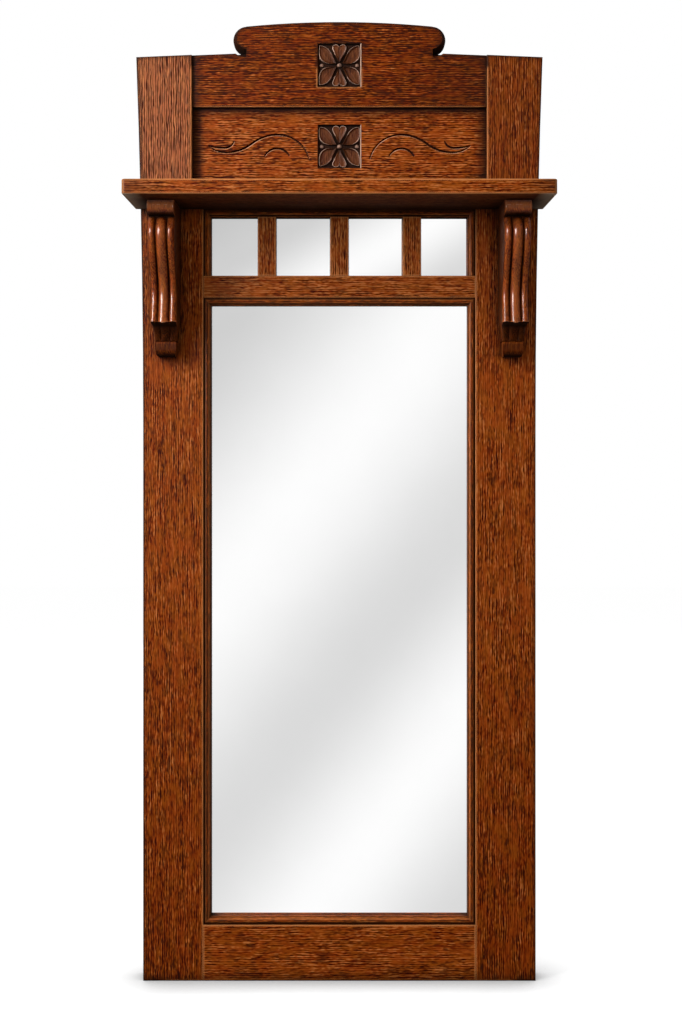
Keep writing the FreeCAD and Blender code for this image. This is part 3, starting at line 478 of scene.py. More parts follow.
def add(tree, kind, inputs=None, stops=None, **settings):
    """Add a node; inputs takes a value, a node or a socket for each input, stops the codes of a ramp."""
    made = tree.nodes.new(kind)
    if kind == MIX:
        made.data_type = "RGBA"
    for name, value in settings.items():
        setattr(made, name, value)
    for key, value in (inputs or {}).items():
        if isinstance(value, bpy.types.Node):
            value = next(socket for socket in value.outputs if socket.enabled)
        if isinstance(value, bpy.types.NodeSocket):
            tree.links.new(value, made.inputs[key])
        else:
            made.inputs[key].default_value = value
    if stops:
        band = made.color_ramp.elements
        band[0].position, band[0].color = stops[0][0], linear(stops[0][1])
        band[-1].position, band[-1].color = stops[-1][0], linear(stops[-1][1])
        for place, code in stops[1:-1]:
            band.new(place).color = linear(code)
    return made


print("middle grey #808080 in linear light:", round(linear("#808080")[0], 3))


# %% A finish and who wears it
def new_finish(name):
    """An empty material with its shader, and the coordinates of the piece that wears it."""
    finish = bpy.data.materials.new(name)
    finish.use_nodes = True
    tree = finish.node_tree
    place = add(tree, "ShaderNodeTexCoord").outputs["Object"]
    return finish, tree, tree.nodes["Principled BSDF"], place


def wear(finish, *pieces):
    """Give each piece this finish as its only one."""
    for piece in pieces:
        piece.data.materials.clear()
        piece.data.materials.append(finish)
    print(f"{finish.name}: {len(finish.node_tree.nodes)} nodes, worn by {len(pieces)}")


print("pieces that wait for a finish:", len(nodes))

# %% [markdown]
# ## Stained oak
# The boards are oak, planed, stained red-brown and rubbed with wax. To the eye that gives a warm ground
# with slow bands of growth, a mottle where the stain took unevenly, fine fibres, lines where the rays
# of the wood are cut across, and dark dashes where stain filled the open pores. A picture of oak would
# make all boards match. So every pattern is a noise or a wave, stretched along the board by a length
# and a width in millimetres, and shifted for each board. Real pores and fibres are 0.3 mm wide or
# less; they are drawn about 1.2 mm wide so that they still show from two metres. The ray lines are
# turned by 45 degrees about the grain, because straight ones would show on the face of a board and
# not on its edge. The clumps say where the grain stands out clearly and where it is almost lost.

# %% The patterns of oak
RAY_GAP = 2.6
# One wave of Blender's wave texture is this long in its own coordinates.
WAVE_PERIOD = 2 * math.pi / 20
# Length and width in mm, then detail and distortion.
OAK_NOISES = {
    "growth": (260, 9, 2.0, 0.0), "mottle": (13, 5, 2.0, 0.4), "line": (24, 1.2, 0.0, 0.0),
    "fibre": (4.5, 1.15, 0.0, 0.0), "dash": (8, 1.2, 0.0, 0.0), "warmth": (22, 8, 1.0, 0.0),
    "clump": (26, 10, 2.0, 0.8),
}


def oak_patterns(tree, place, along, timber):
    """The noises and the ray lines of one board, with the grain along X or Z."""
    def stretched(length, width, turn=0.0):
        """Coordinates in which one unit is the given length along the grain and width across it."""
        across, with_grain = 1 / (width * MM), 1 / (length * MM)
        scale = (with_grain, across, across) if along == "X" else (across, across, with_grain)
        turned = (turn, 0.0, 0.0) if along == "X" else (0.0, 0.0, turn)
        return add(tree, MAPPING, {"Vector": place, "Location": timber, "Rotation": turned,
                                   "Scale": scale})

    seen = {}
    for name, (length, width, detail, twist) in OAK_NOISES.items():
        seen[name] = add(tree, NOISE, {"Vector": stretched(length, width), "Scale": 1.0,
                                       "Detail": detail, "Distortion": twist})
    turned = stretched(36, RAY_GAP / WAVE_PERIOD / math.sqrt(2), math.pi / 4)
    rays = add(tree, "ShaderNodeTexWave", {"Vector": turned, "Scale": 1.0, "Distortion": 5.0,
                                           "Detail": 1.0, "Detail Scale": 2.0},
               wave_type="BANDS", bands_direction="Z" if along == "X" else "X")
    seen["ray"] = rays.outputs["Fac"]
    return seen


print("patterns of oak:", len(OAK_NOISES) + 1, "with ray lines every", RAY_GAP, "mm")

# %% The stain
STAIN = [(0.0, "#300A00"), (0.25, "#611E01"), (0.5, "#813507"), (0.75, "#974716"), (1.0, "#B06732")]
DARK_STAIN = [(0.0, "#351204"), (0.35, "#4D2410"), (0.65, "#66371D"), (1.0, "#845538")]
TONE_LOW, TONE_HIGH = -0.45, 0.55
FOOT_LOW, FOOT_HIGH = 60 * MM, 450 * MM


def stained(tree, seen, spot, stain, lift, foot, figure):
    """Colour and pores: a weighted sum of the patterns picks a place on the stain's ramp. Lift moves
    the whole board up the ramp and foot its lower end; figure strengthens the grain."""
    low = add(tree, RANGE, {"Value": spot.outputs["Z"], "From Min": FOOT_HIGH, "From Max": FOOT_LOW,
                            "To Min": lift, "To Max": lift + foot})
    bands = add(tree, MATH, {0: seen["growth"], 1: 0.2, 2: low}, operation="MULTIPLY_ADD")
    cloudy = add(tree, MATH, {0: seen["mottle"], 1: 0.3, 2: bands}, operation="MULTIPLY_ADD")
    sunken = add(tree, MATH, {0: seen["clump"], 1: -0.4, 2: cloudy}, operation="MULTIPLY_ADD")
    ribbed = add(tree, MATH, {0: seen["ray"], 1: 0.48, 2: -0.92}, operation="MULTIPLY_ADD")
    lines = add(tree, MATH, {0: seen["line"], 1: 0.66, 2: ribbed}, operation="MULTIPLY_ADD")
    grain = add(tree, MATH, {0: seen["fibre"], 1: 0.70, 2: lines}, operation="MULTIPLY_ADD")
    lively = add(tree, RANGE, {"Value": seen["clump"], "From Min": 0.35, "From Max": 0.65,
                               "To Min": 0.4 * figure, "To Max": 1.6 * figure})
    tone = add(tree, MATH, {0: grain, 1: lively, 2: sunken}, operation="MULTIPLY_ADD")
    spread = add(tree, RANGE, {"Value": tone, "From Min": TONE_LOW, "From Max": TONE_HIGH})
    ground = add(tree, RAMP, {0: spread}, stops=stain)
    golden = add(tree, RANGE, {"Value": seen["warmth"], "From Min": 0.4, "From Max": 0.65, "To Max": 0.35})
    ground = add(tree, MIX, {0: golden, 6: ground, 7: linear("#8A4A06")}, blend_type="HUE")
    early = add(tree, RANGE, {"Value": seen["growth"], "From Min": 0.62, "From Max": 0.42,
                              "To Min": 0.4, "To Max": 1.0})
    filled = add(tree, RANGE, {"Value": seen["dash"], "From Min": 0.58, "From Max": 0.68, "To Max": 0.75})
    pore = add(tree, MATH, {0: filled, 1: early}, operation="MULTIPLY")
    colour = add(tree, MIX, {0: pore, 6: ground, 7: linear("#2A0B01")})
    return colour, pore


print("shades on the stain's ramp:", len(STAIN), "and on the dark one:", len(DARK_STAIN))

# %% [markdown]
# ## What years did to the oak, and painted light and shade
# Wax and stain don't stay even. Above the shelf the left post is painted paler, a painted sheen, the
# right post darker, and their ray lines show as if ruled. Dusters rubbed the crowns of the carving and the
# arrises of the boards pale, and there a painted highlight is added; the outer rim of the frame and the
# top of the crest get a dark painted shade line instead. The end grain drank more stain, and the same rule
# paints shade where rounded edges turn sideways, as on the ears. Beside the posts and under the crest rail
# lies a painted shadow, and the undersides get painted shade, with a painted reflection under the shelf's
# ends. Painting each board by hand would do it too, but a rule for each kind works on all of them: the
# carving knows its crowns from the attribute that was stored with its mesh, a Bevel node finds the
# arrises, and ambient occlusion finds the corners, where dirt and painted shade gather.

# %% Posts above the shelf
POST_START, POST_FULL = 908 * MM, 916 * MM


def posted(tree, colour, seen, spot, post_tone, amount, ruling):
    """Above the shelf a stile turns towards a colour (on the left post a painted sheen); its ray lines are
    ruled dark.
    """
    above = add(tree, RANGE, {"Value": spot.outputs["Z"], "From Min": POST_START, "From Max": POST_FULL})
    post_toned = add(tree, MATH, {0: above, 1: amount}, operation="MULTIPLY")
    colour = add(tree, MIX, {0: post_toned, 6: colour, 7: linear(post_tone)})
    drawn = add(tree, RANGE, {"Value": seen["ray"], "From Min": 0.5, "From Max": 0.15, "To Max": ruling})
    broken = add(tree, RANGE, {"Value": seen["clump"], "From Min": 0.35, "From Max": 0.6, "To Min": 0.7})
    drawn = add(tree, MATH, {0: drawn, 1: broken}, operation="MULTIPLY")
    ruled = add(tree, MATH, {0: drawn, 1: above}, operation="MULTIPLY")
    return add(tree, MIX, {0: ruled, 6: colour, 7: linear("#3A1204")})


print("the posts begin at", round(POST_START / MM), "mm")

# %% Crowns and grooves of the carving, with painted light and shade
# One dark colour serves for grime in grooves and for painted shade.
GRIME_AND_SHADE = linear("#120500")


def carving_wear_and_light(tree, colour, seen, wear_and_light, rubbed_and_lit, crowns):
    """Crowns made pale, partly by rubbing and partly as a painted highlight; grooves and faces turned away
    made dark, partly with soiling and partly as painted shade; and patches of the highest edges scuffed
    pale, partly a painted highlight.
    """
    crown = add(tree, RANGE, {"Value": wear_and_light, "From Min": 0.2, "From Max": 0.9, "To Max": rubbed_and_lit})
    grooves_and_shade = add(tree, RANGE, {"Value": wear_and_light, "From Min": -0.1, "From Max": -0.8, "To Max": 0.85})
    colour = add(tree, MIX, {0: crown, 6: colour, 7: linear(crowns)})
    colour = add(tree, MIX, {0: grooves_and_shade, 6: colour, 7: GRIME_AND_SHADE})
    highest_crowns = add(tree, RANGE, {"Value": wear_and_light, "From Min": 0.86, "From Max": 0.96, "To Max": 0.55})
    patchy = add(tree, RANGE, {"Value": seen["mottle"], "From Min": 0.45, "From Max": 0.55})
    scuffs_and_highlights = add(tree, MATH, {0: highest_crowns, 1: patchy}, operation="MULTIPLY")
    return add(tree, MIX, {0: scuffs_and_highlights, 6: colour, 7: linear("#C8A48C")})


print("grime in linear light:", [round(channel, 4) for channel in GRIME_AND_SHADE[:3]])

# %% Ends and arrises of the boards
ARRIS, RIM_BAND = 3.6 * MM, 9 * MM
RIM_START, RIM_FULL = 198 * MM, 202 * MM
CREST_START, CREST_FULL = 1045 * MM, 1050 * MM
SHELF_ENDS_START, SHELF_ENDS_FULL = 185 * MM, 228 * MM


def near_arrises(tree, true_normal, facing):
    """How near an arris a spot is: where the rounded normal leaves the true one, or the CAD is rounded."""
    softened = add(tree, ROUNDING, {"Radius": ARRIS}, samples=4)
    agree = add(tree, VECTOR, {0: softened, 1: true_normal}, operation="DOT_PRODUCT")
    sharp = add(tree, RANGE, {"Value": agree.outputs["Value"], "From Min": 0.985, "From Max": 0.92})
    turned = add(tree, RANGE, {"Value": facing, "From Min": 0.98, "From Max": 0.8})
    front = add(tree, RANGE, {"Value": facing, "From Min": 0.03, "From Max": 0.3})
    rounded = add(tree, MATH, {0: turned, 1: front}, operation="MULTIPLY")
    return add(tree, MATH, {0: sharp, 1: rounded}, operation="MAXIMUM")


def board_edges(tree, colour, spot, wide, true_normal, along, rubbed_and_lit, rim):
    """Dark end grain, a colour that also paints shade where rounded edges turn sideways, and painted arrises:
    pale inside the frame, from rubbing and a painted highlight, and a line of painted shade along the outer
    rim and the crest's top, with a wider band of painted shade there. A board without a rim, the shelf, is
    darker at its ends instead."""
    normal = add(tree, AXES, {0: true_normal})
    ends = add(tree, MATH, {0: normal.outputs[along]}, operation="ABSOLUTE")
    # End grain takes more stain; this mask also darkens rounded edges that turn sideways: painted shade.
    end_grain_and_shade = add(tree, RANGE, {"Value": ends, "From Min": 0.2, "From Max": 0.55, "To Max": 0.8})
    colour = add(tree, MIX, {0: end_grain_and_shade, 6: colour, 7: linear("#1C0900")})
    facing = add(tree, MATH, {0: normal.outputs["Y"], 1: 2.0}, operation="POWER")
    edge = add(tree, MATH, {0: near_arrises(tree, true_normal, facing), 1: rubbed_and_lit}, operation="MULTIPLY")
    outer = add(tree, RANGE, {"Value": wide, "From Min": RIM_START, "From Max": RIM_FULL,
                              "To Max": 1.0 if rim else 0.0})
    upper = add(tree, RANGE, {"Value": spot.outputs["Z"], "From Min": CREST_START, "From Max": CREST_FULL})
    shade = add(tree, MATH, {0: outer, 1: upper}, operation="MAXIMUM")
    # Arrises: pale inside the frame, rubbing with a painted highlight; dark on outer rim and crest top,
    # painted shade.
    arris_wear_and_light = add(tree, MIX, {0: shade, 6: linear("#BE7A44"), 7: linear("#220B02")})
    colour = add(tree, MIX, {0: edge, 6: colour, 7: arris_wear_and_light})
    if not rim:
        # The shelf is painted darker towards its ends.
        toward_shelf_ends = add(tree, RANGE, {"Value": wide, "From Min": SHELF_ENDS_START, "From Max": SHELF_ENDS_FULL,
                                 "To Max": 0.5})
        return add(tree, MIX, {0: toward_shelf_ends, 6: colour, 7: linear("#3A1606")})
    # A wider dark band along the outer rim and the crest's top is painted shade.
    broad = add(tree, ROUNDING, {"Radius": RIM_BAND}, samples=4)
    lean = add(tree, VECTOR, {0: broad, 1: true_normal}, operation="DOT_PRODUCT")
    near = add(tree, RANGE, {"Value": lean.outputs["Value"], "From Min": 0.97, "From Max": 0.9,
                             "To Max": 0.85})
    rim_shade = add(tree, MATH, {0: near, 1: shade}, operation="MULTIPLY")
    return add(tree, MIX, {0: rim_shade, 6: colour, 7: linear("#241006")})


print("arrises are rubbed", round(ARRIS / MM, 1), "mm wide")

# %% Painted shadow beside the posts
POST_SHADOW_START, POST_SHADOW_FULL = 155 * MM, 169 * MM
UNDER_RAIL, RAIL_EDGE = 991 * MM, 1001 * MM
GLOOM_START, GLOOM_FULL = 70 * MM, 150 * MM


def shaded_by_posts(tree, colour, spot, wide, post_shadow, gloom, carved):
    """Painted shadow beside the posts, on the carved panel also under the crest rail, and darker towards the
    right.
    """
    beside = add(tree, RANGE, {"Value": wide, "From Min": POST_SHADOW_START, "From Max": POST_SHADOW_FULL,
                               "To Max": post_shadow})
    under = add(tree, RANGE, {"Value": spot.outputs["Z"], "From Min": UNDER_RAIL, "From Max": RAIL_EDGE,
                              "To Max": post_shadow if carved else 0.0})
    hidden = add(tree, MATH, {0: beside, 1: under}, operation="MAXIMUM")
    gloomy = add(tree, RANGE, {"Value": spot.outputs["X"], "From Min": GLOOM_START, "From Max": GLOOM_FULL,
                               "To Max": gloom})
    hidden = add(tree, MATH, {0: hidden, 1: gloomy}, operation="MAXIMUM")
    return add(tree, MIX, {0: hidden, 6: colour, 7: linear("#22130C")})


print("soot begins", round(POST_SHADOW_START / MM), "mm off the middle")

# %% Undersides
SHELF_FRONT, WALL_SIDE = -130 * MM, -40 * MM
JUT_START, JUT_FULL = 213 * MM, 230 * MM


def undersides(tree, colour, spot, wide, facing_down):
    """Faces that look down: unwaxed, painted in shade that deepens towards the wall, and given a pale painted
    reflection where they jut past the frame.
    """
    deep = add(tree, RANGE, {"Value": spot.outputs["Y"], "From Min": SHELF_FRONT, "From Max": WALL_SIDE,
                             "To Min": 0.7, "To Max": 0.95})
    shaded = add(tree, MATH, {0: facing_down, 1: deep}, operation="MULTIPLY")
    colour = add(tree, MIX, {0: shaded, 6: colour, 7: GRIME_AND_SHADE})
    jutting = add(tree, RANGE, {"Value": wide, "From Min": JUT_START, "From Max": JUT_FULL, "To Max": 0.75})
    painted_reflection = add(tree, MATH, {0: jutting, 1: facing_down}, operation="MULTIPLY")
    return add(tree, MIX, {0: painted_reflection, 6: colour, 7: linear("#A28A74")})


# The pale patch under the shelf's ends is a painted reflection.
print("the shelf is dusty below from", round(JUT_START / MM), "mm off the middle")

# %% Dirt and painted shade in the corners
CORNER_REACH, CRANNY_REACH = 16 * MM, 28 * MM
INNER_START, INNER_FULL = 198 * MM, 190 * MM


def corner_dirt_and_shade(tree, colour, wide, dirt_and_shade, post, wear_and_light):
    """Dirt and painted shade where other wood is near; the shade reaches further on a post's inner side,
    beside the corbels, and crowns are left clean.
    """
    corner = add(tree, OCCLUSION, {"Distance": CORNER_REACH}, samples=6)
    grime_and_shade = add(tree, RANGE, {"Value": corner.outputs["AO"], "From Min": 0.95, "From Max": 0.4,
                              "To Max": dirt_and_shade})
    if post:
        cranny = add(tree, OCCLUSION, {"Distance": CRANNY_REACH}, samples=6)
        inner = add(tree, RANGE, {"Value": wide, "From Min": INNER_START, "From Max": INNER_FULL})
        post_shade = add(tree, RANGE, {"Value": cranny.outputs["AO"], "From Min": 0.9, "From Max": 0.45,
                                 "To Max": 0.35})
        post_shade = add(tree, MATH, {0: post_shade, 1: inner}, operation="MULTIPLY")
        grime_and_shade = add(tree, MATH, {0: grime_and_shade, 1: post_shade}, operation="MAXIMUM")
    if wear_and_light is not None:
        clean = add(tree, RANGE, {"Value": wear_and_light, "From Min": 0.2, "From Max": 0.7,
                                  "To Min": 1.0, "To Max": 0.1})
        grime_and_shade = add(tree, MATH, {0: grime_and_shade, 1: clean}, operation="MULTIPLY")
    return add(tree, MIX, {0: grime_and_shade, 6: colour, 7: GRIME_AND_SHADE})


print("dirt reaches", round(CORNER_REACH / MM), "mm out of a corner")

# %% The oak recipe
WAXED, OPEN_PORE = 0.45, 0.7
COAT_ROUGHNESS = 0.21


def oak(name, along, timber, stain, lift=0.0, polish=0.02, coat=0.0, carved=False, figure=1.0, rubbed_and_lit=0.75,
        rim=True, post_shadow=0.0, gloom=0.0, foot=0.0, post=None, dirt_and_shade=0.9, crowns="#B07A54"):
    """Stained oak with its grain along X or Z; timber shifts the pattern so that no two boards match."""
    finish, tree, shader, place = new_finish(name)
    spot = add(tree, AXES, {0: place})
    wide = add(tree, MATH, {0: spot.outputs["X"]}, operation="ABSOLUTE")
    true_normal = add(tree, GEOMETRY).outputs["Normal"]
    normal = add(tree, AXES, {0: true_normal})
    facing_down = add(tree, RANGE, {"Value": normal.outputs["Z"], "From Min": -0.4 if carved else -0.3,
                             "From Max": -0.85 if carved else -0.8})
    wear_and_light = add(tree, "ShaderNodeAttribute", attribute_name="wear_and_light").outputs["Fac"] if carved else None

    seen = oak_patterns(tree, place, along, timber)
    colour, pore = stained(tree, seen, spot, stain, lift, foot, figure)
    if post:
        colour = posted(tree, colour, seen, spot, *post)
    stale = add(tree, RANGE, {"Value": seen["mottle"], "From Min": 0.42, "From Max": 0.28, "To Max": 0.5})
    colour = add(tree, MIX, {0: stale, 6: colour, 7: linear("#3A1A0A")})
    if carved:
        colour = carving_wear_and_light(tree, colour, seen, wear_and_light, rubbed_and_lit, crowns)
    else:
        colour = board_edges(tree, colour, spot, wide, true_normal, along, rubbed_and_lit, rim)
    if post_shadow:
        colour = shaded_by_posts(tree, colour, spot, wide, post_shadow, gloom, carved)
    colour = undersides(tree, colour, spot, wide, facing_down)
    colour = corner_dirt_and_shade(tree, colour, wide, dirt_and_shade, post, wear_and_light)
    tree.links.new(colour.outputs[2], shader.inputs["Base Color"])

    waxed = add(tree, RANGE, {"Value": pore, "To Min": WAXED, "To Max": OPEN_PORE})
    dull = add(tree, MATH, {0: waxed, 1: facing_down}, operation="MAXIMUM")
    tree.links.new(dull.outputs[0], shader.inputs["Roughness"])
    height = add(tree, MATH, {0: pore, 1: -1.0, 2: seen["line"]}, operation="MULTIPLY_ADD")
    bump = add(tree, "ShaderNodeBump", {"Height": height, "Distance": 0.2 * MM, "Strength": 0.35})
    tree.links.new(bump.outputs[0], shader.inputs["Normal"])
    shader.inputs["Specular IOR Level"].default_value = polish
    if coat:
        handled = add(tree, RANGE, {"Value": wear_and_light, "From Min": -0.4, "From Max": 0.2, "To Max": coat})
        tree.links.new(handled.outputs[0], shader.inputs["Coat Weight"])
        shader.inputs["Coat Roughness"].default_value = COAT_ROUGHNESS
    return finish


print("roughness of waxed oak:", WAXED, "and of its open pores:", OPEN_PORE)

# %% The boards
# Grain direction, shift of the pattern, and what is special about each board.
boards = {
    # Stiles: foot darkens them towards the floor, painted shade; the left post's pale tone is a painted
    # sheen.
    "left_stile": ("Z", (0.0, 0.0, 0.0), {"foot": -0.16, "post": ("#B4805C", 0.26, 1.0)}),
    "right_stile": ("Z", (31.0, 5.0, 2.0), {"foot": -0.16, "post": ("#3A2014", 0.2, 0.4)}),
    "bottom_rail": ("X", (3.0, 17.0, 9.0), {"lift": -0.03, "figure": 1.15}),
    # Transom, shelf rail and mullions: their raised lift stands in for light near the shelf, painted light.
    "transom_rail": ("X", (8.0, 3.0, 41.0), {"lift": 0.13, "figure": 1.15}),
    "shelf_rail": ("X", (1.0, 7.0, 23.0), {"lift": 0.16}),
    # Crest rail: a painted shadow beside the posts, and darker towards the right.
    "crest_rail": ("X", (5.0, 11.0, 3.0), {"lift": -0.26, "figure": 1.1, "post_shadow": 0.75, "gloom": 0.3}),
    # Shelf: the high rubbing amount paints a highlight along its front arris.
    "shelf": ("X", (2.0, 29.0, 13.0), {"lift": 0.02, "figure": 1.3, "rim": False, "rubbed_and_lit": 0.95}),
    "mullion_1": ("Z", (3.0, 2.0, 1.0), {"lift": 0.12, "figure": 1.4}),
    "mullion_2": ("Z", (13.0, 4.0, 6.0), {"lift": 0.12, "figure": 1.4}),
    "mullion_3": ("Z", (23.0, 8.0, 3.0), {"lift": 0.12, "figure": 1.4}),
}
for name, (along, timber, finishing) in boards.items():
    wear(oak(f"stained oak, {name}", along, timber, STAIN, **finishing), nodes[name])

# %% Beads and carving
# The left and right beads are painted darker than the rest: painted shade.
SHADED_BEADS = {"main_bead_left": -0.42, "main_bead_right": -0.3}
BEAD_LIFT = -0.12
for name in [name for name in nodes if "_bead_" in name]:
    along = "Z" if name.endswith(("left", "right")) else "X"
    timber = (len(name) * 7.0, 3.0, 5.0)
    lift = SHADED_BEADS.get(name, BEAD_LIFT)
    wear(oak(f"stained oak, {name}", along, timber, STAIN, lift, rubbed_and_lit=0.2), nodes[name])
# Panel: painted shadow by the posts and crest rail. Pale crowns of corbels and flower rims: partly painted
# highlights.
wear(oak("stained oak, panel", "X", (4.0, 19.0, 7.0), STAIN, carved=True, figure=1.3, post_shadow=0.8), crest_field)
wear(oak("rubbed oak, corbels", "Z", (9.0, 1.0, 4.0), STAIN, coat=0.22, carved=True, lift=0.02, figure=0.5,
         rubbed_and_lit=0.5, dirt_and_shade=0.8, crowns="#A5602F"), left_corbel, right_corbel)
wear(oak("dark carved oak, flowers", "Z", (6.0, 2.0, 8.0), DARK_STAIN, polish=0.03, carved=True, figure=0.4,
         rubbed_and_lit=0.75, crowns="#CDAB97"), upper_flower, lower_flower)

# %% [markdown]
# ## Silvered glass
# The large pane is float glass, polished and silvered behind. A mirror is simplest as a metal with
# almost no roughness; glass over silver would look the same and take longer. To the eye it is a clear
# white with a faint haze, and a thin dark line at the beads, a painted reflection of the dark rebate.

# %% The large pane
silver, tree, shader, place = new_finish("silvered glass, polished")
shader.inputs["Metallic"].default_value = 1.0
haze = add(tree, NOISE, {"Vector": place, "Scale": 1 / (60 * MM), "Detail": 4.0})
tint = add(tree, RAMP, {0: haze}, stops=[(0.3, "#FCFCFC"), (0.7, "#FEFEFE")])
corner = add(tree, OCCLUSION, {"Distance": 1.6 * MM}, samples=6)
# A thin dark rim beside the beads is a painted reflection of the rebate.
rebate_reflection = add(tree, RANGE, {"Value": corner.outputs["AO"], "From Min": 0.8, "From Max": 0.6, "To Max": 0.95})
tint = add(tree, MIX, {0: rebate_reflection, 6: tint, 7: linear("#1A0D07")})
tree.links.new(tint.outputs[2], shader.inputs["Base Color"])
smear = add(tree, RANGE, {"Value": haze, "To Min": 0.0, "To Max": 0.01})
tree.links.new(smear.outputs[0], shader.inputs["Roughness"])
wear(silver, nodes["main_mirror"])

# %% [markdown]
# ## The small panes
# The four small panes are older sheet glass, which is never quite flat, so that each shows a wider
# slice of the room. Bending the panes would lift them out of their rebates. So slight a bow shows only
# in reflections, so it is enough to lean the normal a little more along the row and up each pane.

# %% A slight bow
BOW_ACROSS, BOW_UP = 0.22, 0.7
PANES_LEFT, PANES_MIDDLE = -125 * MM, 850 * MM
bowed = silver.copy()
bowed.name = "silvered sheet glass, polished"
tree = bowed.node_tree
place = next(node for node in tree.nodes if node.bl_idname == "ShaderNodeTexCoord").outputs["Object"]
lean = add(tree, MAPPING, {"Vector": place, "Scale": (BOW_ACROSS, 0.0, BOW_UP),
                           "Location": (-BOW_ACROSS * PANES_LEFT, 0.0, -BOW_UP * PANES_MIDDLE)})
flat = add(tree, GEOMETRY).outputs["Normal"]
leaning = add(tree, VECTOR, {0: flat, 1: lean}, operation="ADD")
facing = add(tree, VECTOR, {0: leaning}, operation="NORMALIZE")
tree.links.new(facing.outputs[0], tree.nodes["Principled BSDF"].inputs["Normal"])
wear(bowed, *[nodes[name] for name in nodes if name.startswith("light_mirror")])

# %% [markdown]
# ## Aged pine
# Behind the glass lie thin pine boards and fillets, sawn and planed, that only the wall sees. Pine is
# pale yellow-brown and matt, with wide bands of growth and fine streaks. Three noises are laid over
# each other: bands 17 mm wide, streaks 3 mm wide, and fibres, which are finer than a millimetre on real
# pine and drawn 1.2 mm wide so that they show.

# %% The backboards and fillets
# Width and length in mm, then detail and weight.
PINE_NOISES = ((17.0, 700.0, 4.0, 0.6), (3.2, 260.0, 1.0, 0.4), (1.2, 30.0, 0.0, 0.3))
PINE = [(0.0, "#74491C"), (0.35, "#9A6D35"), (0.65, "#B98A4C"), (1.0, "#D3AB70")]
pine, tree, shader, place = new_finish("aged pine, sawn and planed")
tone = add(tree, NOISE, {"Vector": place, "Scale": 1 / (140 * MM), "Detail": 2.0})
tone = add(tree, MATH, {0: tone, 1: 0.2}, operation="MULTIPLY")
for width, length, detail, amount in PINE_NOISES:
    scale = (1 / (width * MM), 1 / (width * MM), 1 / (length * MM))
    strand = add(tree, MAPPING, {"Vector": place, "Scale": scale})
    fibre = add(tree, NOISE, {"Vector": strand, "Scale": 1.0, "Detail": detail, "Distortion": 0.3})
    tone = add(tree, MATH, {0: fibre, 1: amount, 2: tone}, operation="MULTIPLY_ADD")
spread = add(tree, RANGE, {"Value": tone, "From Min": 0.55, "From Max": 0.95})
tint = add(tree, RAMP, {0: spread}, stops=PINE)
# The pine is painted darker in its corners: painted shade.
corner = add(tree, OCCLUSION, {"Distance": 20 * MM}, samples=6)
grime_and_shade = add(tree, RANGE, {"Value": corner.outputs["AO"], "From Min": 0.95, "From Max": 0.5, "To Max": 0.7})
tint = add(tree, MIX, {0: grime_and_shade, 6: tint, 7: linear("#3A2410")})
tree.links.new(tint.outputs[2], shader.inputs["Base Color"])
rough = add(tree, "ShaderNodeBump", {"Height": fibre, "Distance": 0.2 * MM, "Strength": 0.3})
tree.links.new(rough.outputs[0], shader.inputs["Normal"])
shader.inputs["Roughness"].default_value = 0.7
boarding = [name for name in nodes if "backboard" in name and "screws" not in name or "fillet" in name]
wear(pine, *[nodes[name] for name in boarding])

# %% [markdown]
# ## Brass and steel
# The hangers are pressed brass that has gone dull, and so are the screws of the backboards. To the eye
# that is a warm metal with brown spots a few millimetres wide, smoother where it is still bright. The
# screws inside the wood are plain drawn steel, grey and half dull. Both are metals with spots of noise.

# %% The hangers and screws
brass, tree, shader, place = new_finish("aged brass, pressed")
shader.inputs["Metallic"].default_value = 1.0
spots = add(tree, NOISE, {"Vector": place, "Scale": 1 / (4 * MM), "Detail": 4.0})
tint = add(tree, RAMP, {0: spots}, stops=[(0.35, "#6B4E22"), (0.6, "#A98443"), (0.75, "#C9A45E")])
tree.links.new(tint.outputs[0], shader.inputs["Base Color"])
dull = add(tree, RANGE, {"Value": spots, "To Min": 0.55, "To Max": 0.25})
tree.links.new(dull.outputs[0], shader.inputs["Roughness"])
wear(brass, *[nodes[name] for name in nodes if "hanger" in name], nodes["backboard_screws"])

steel, tree, shader, place = new_finish("plain steel, drawn")
shader.inputs["Metallic"].default_value = 1.0
spots = add(tree, NOISE, {"Vector": place, "Scale": 1 / (3 * MM), "Detail": 3.0})
tint = add(tree, RAMP, {0: spots}, stops=[(0.3, "#5B5957"), (0.7, "#85827E")])
tree.links.new(tint.outputs[0], shader.inputs["Base Color"])
shader.inputs["Roughness"].default_value = 0.45
wear(steel, nodes["shelf_screws"], nodes["corbel_screws"])

# %% [markdown]
# ## The studio
# The photograph was taken in front of white paper, and the glass shows the room behind the camera:
# white, with soft grey bands that run down to the right. A picture of a room could light it all, but a
# world of nodes does three things, told apart by the kind of ray. What the camera sees is white, what
# glass and polish see is the banded room, and what lights the wood is a quiet even grey.

# %% The room
BAND_DIRECTION = (0.766, 0.0, -0.643)
ROOM_LIGHT = (0.34, 0.34, 0.34, 1.0)
WHITE = (1.0, 1.0, 1.0, 1.0)
GREYS = [(0.0, "#DCDCDC"), (0.12, "#FAFAFA"), (0.2, "#D4D4D4"), (0.28, "#F6F6F6"), (0.4, "#C6C6C6"),
         (0.4425, "#D1D1D1"), (0.505, "#FFFFFF"), (0.5575, "#DCDCDC"), (0.599, "#FFFFFF"), (0.636, "#DCDCDC"),
         (0.66, "#DCDCDC"), (0.76, "#FAFAFA"), (0.86, "#D8D8D8"), (1.0, "#F0F0F0")]
room = bpy.data.worlds.new("white studio")
bpy.context.scene.world = room
room.use_nodes = True
tree = room.node_tree
tree.nodes.clear()
towards = add(tree, "ShaderNodeTexCoord").outputs["Generated"]
slant = add(tree, VECTOR, {0: towards, 1: BAND_DIRECTION}, operation="DOT_PRODUCT")
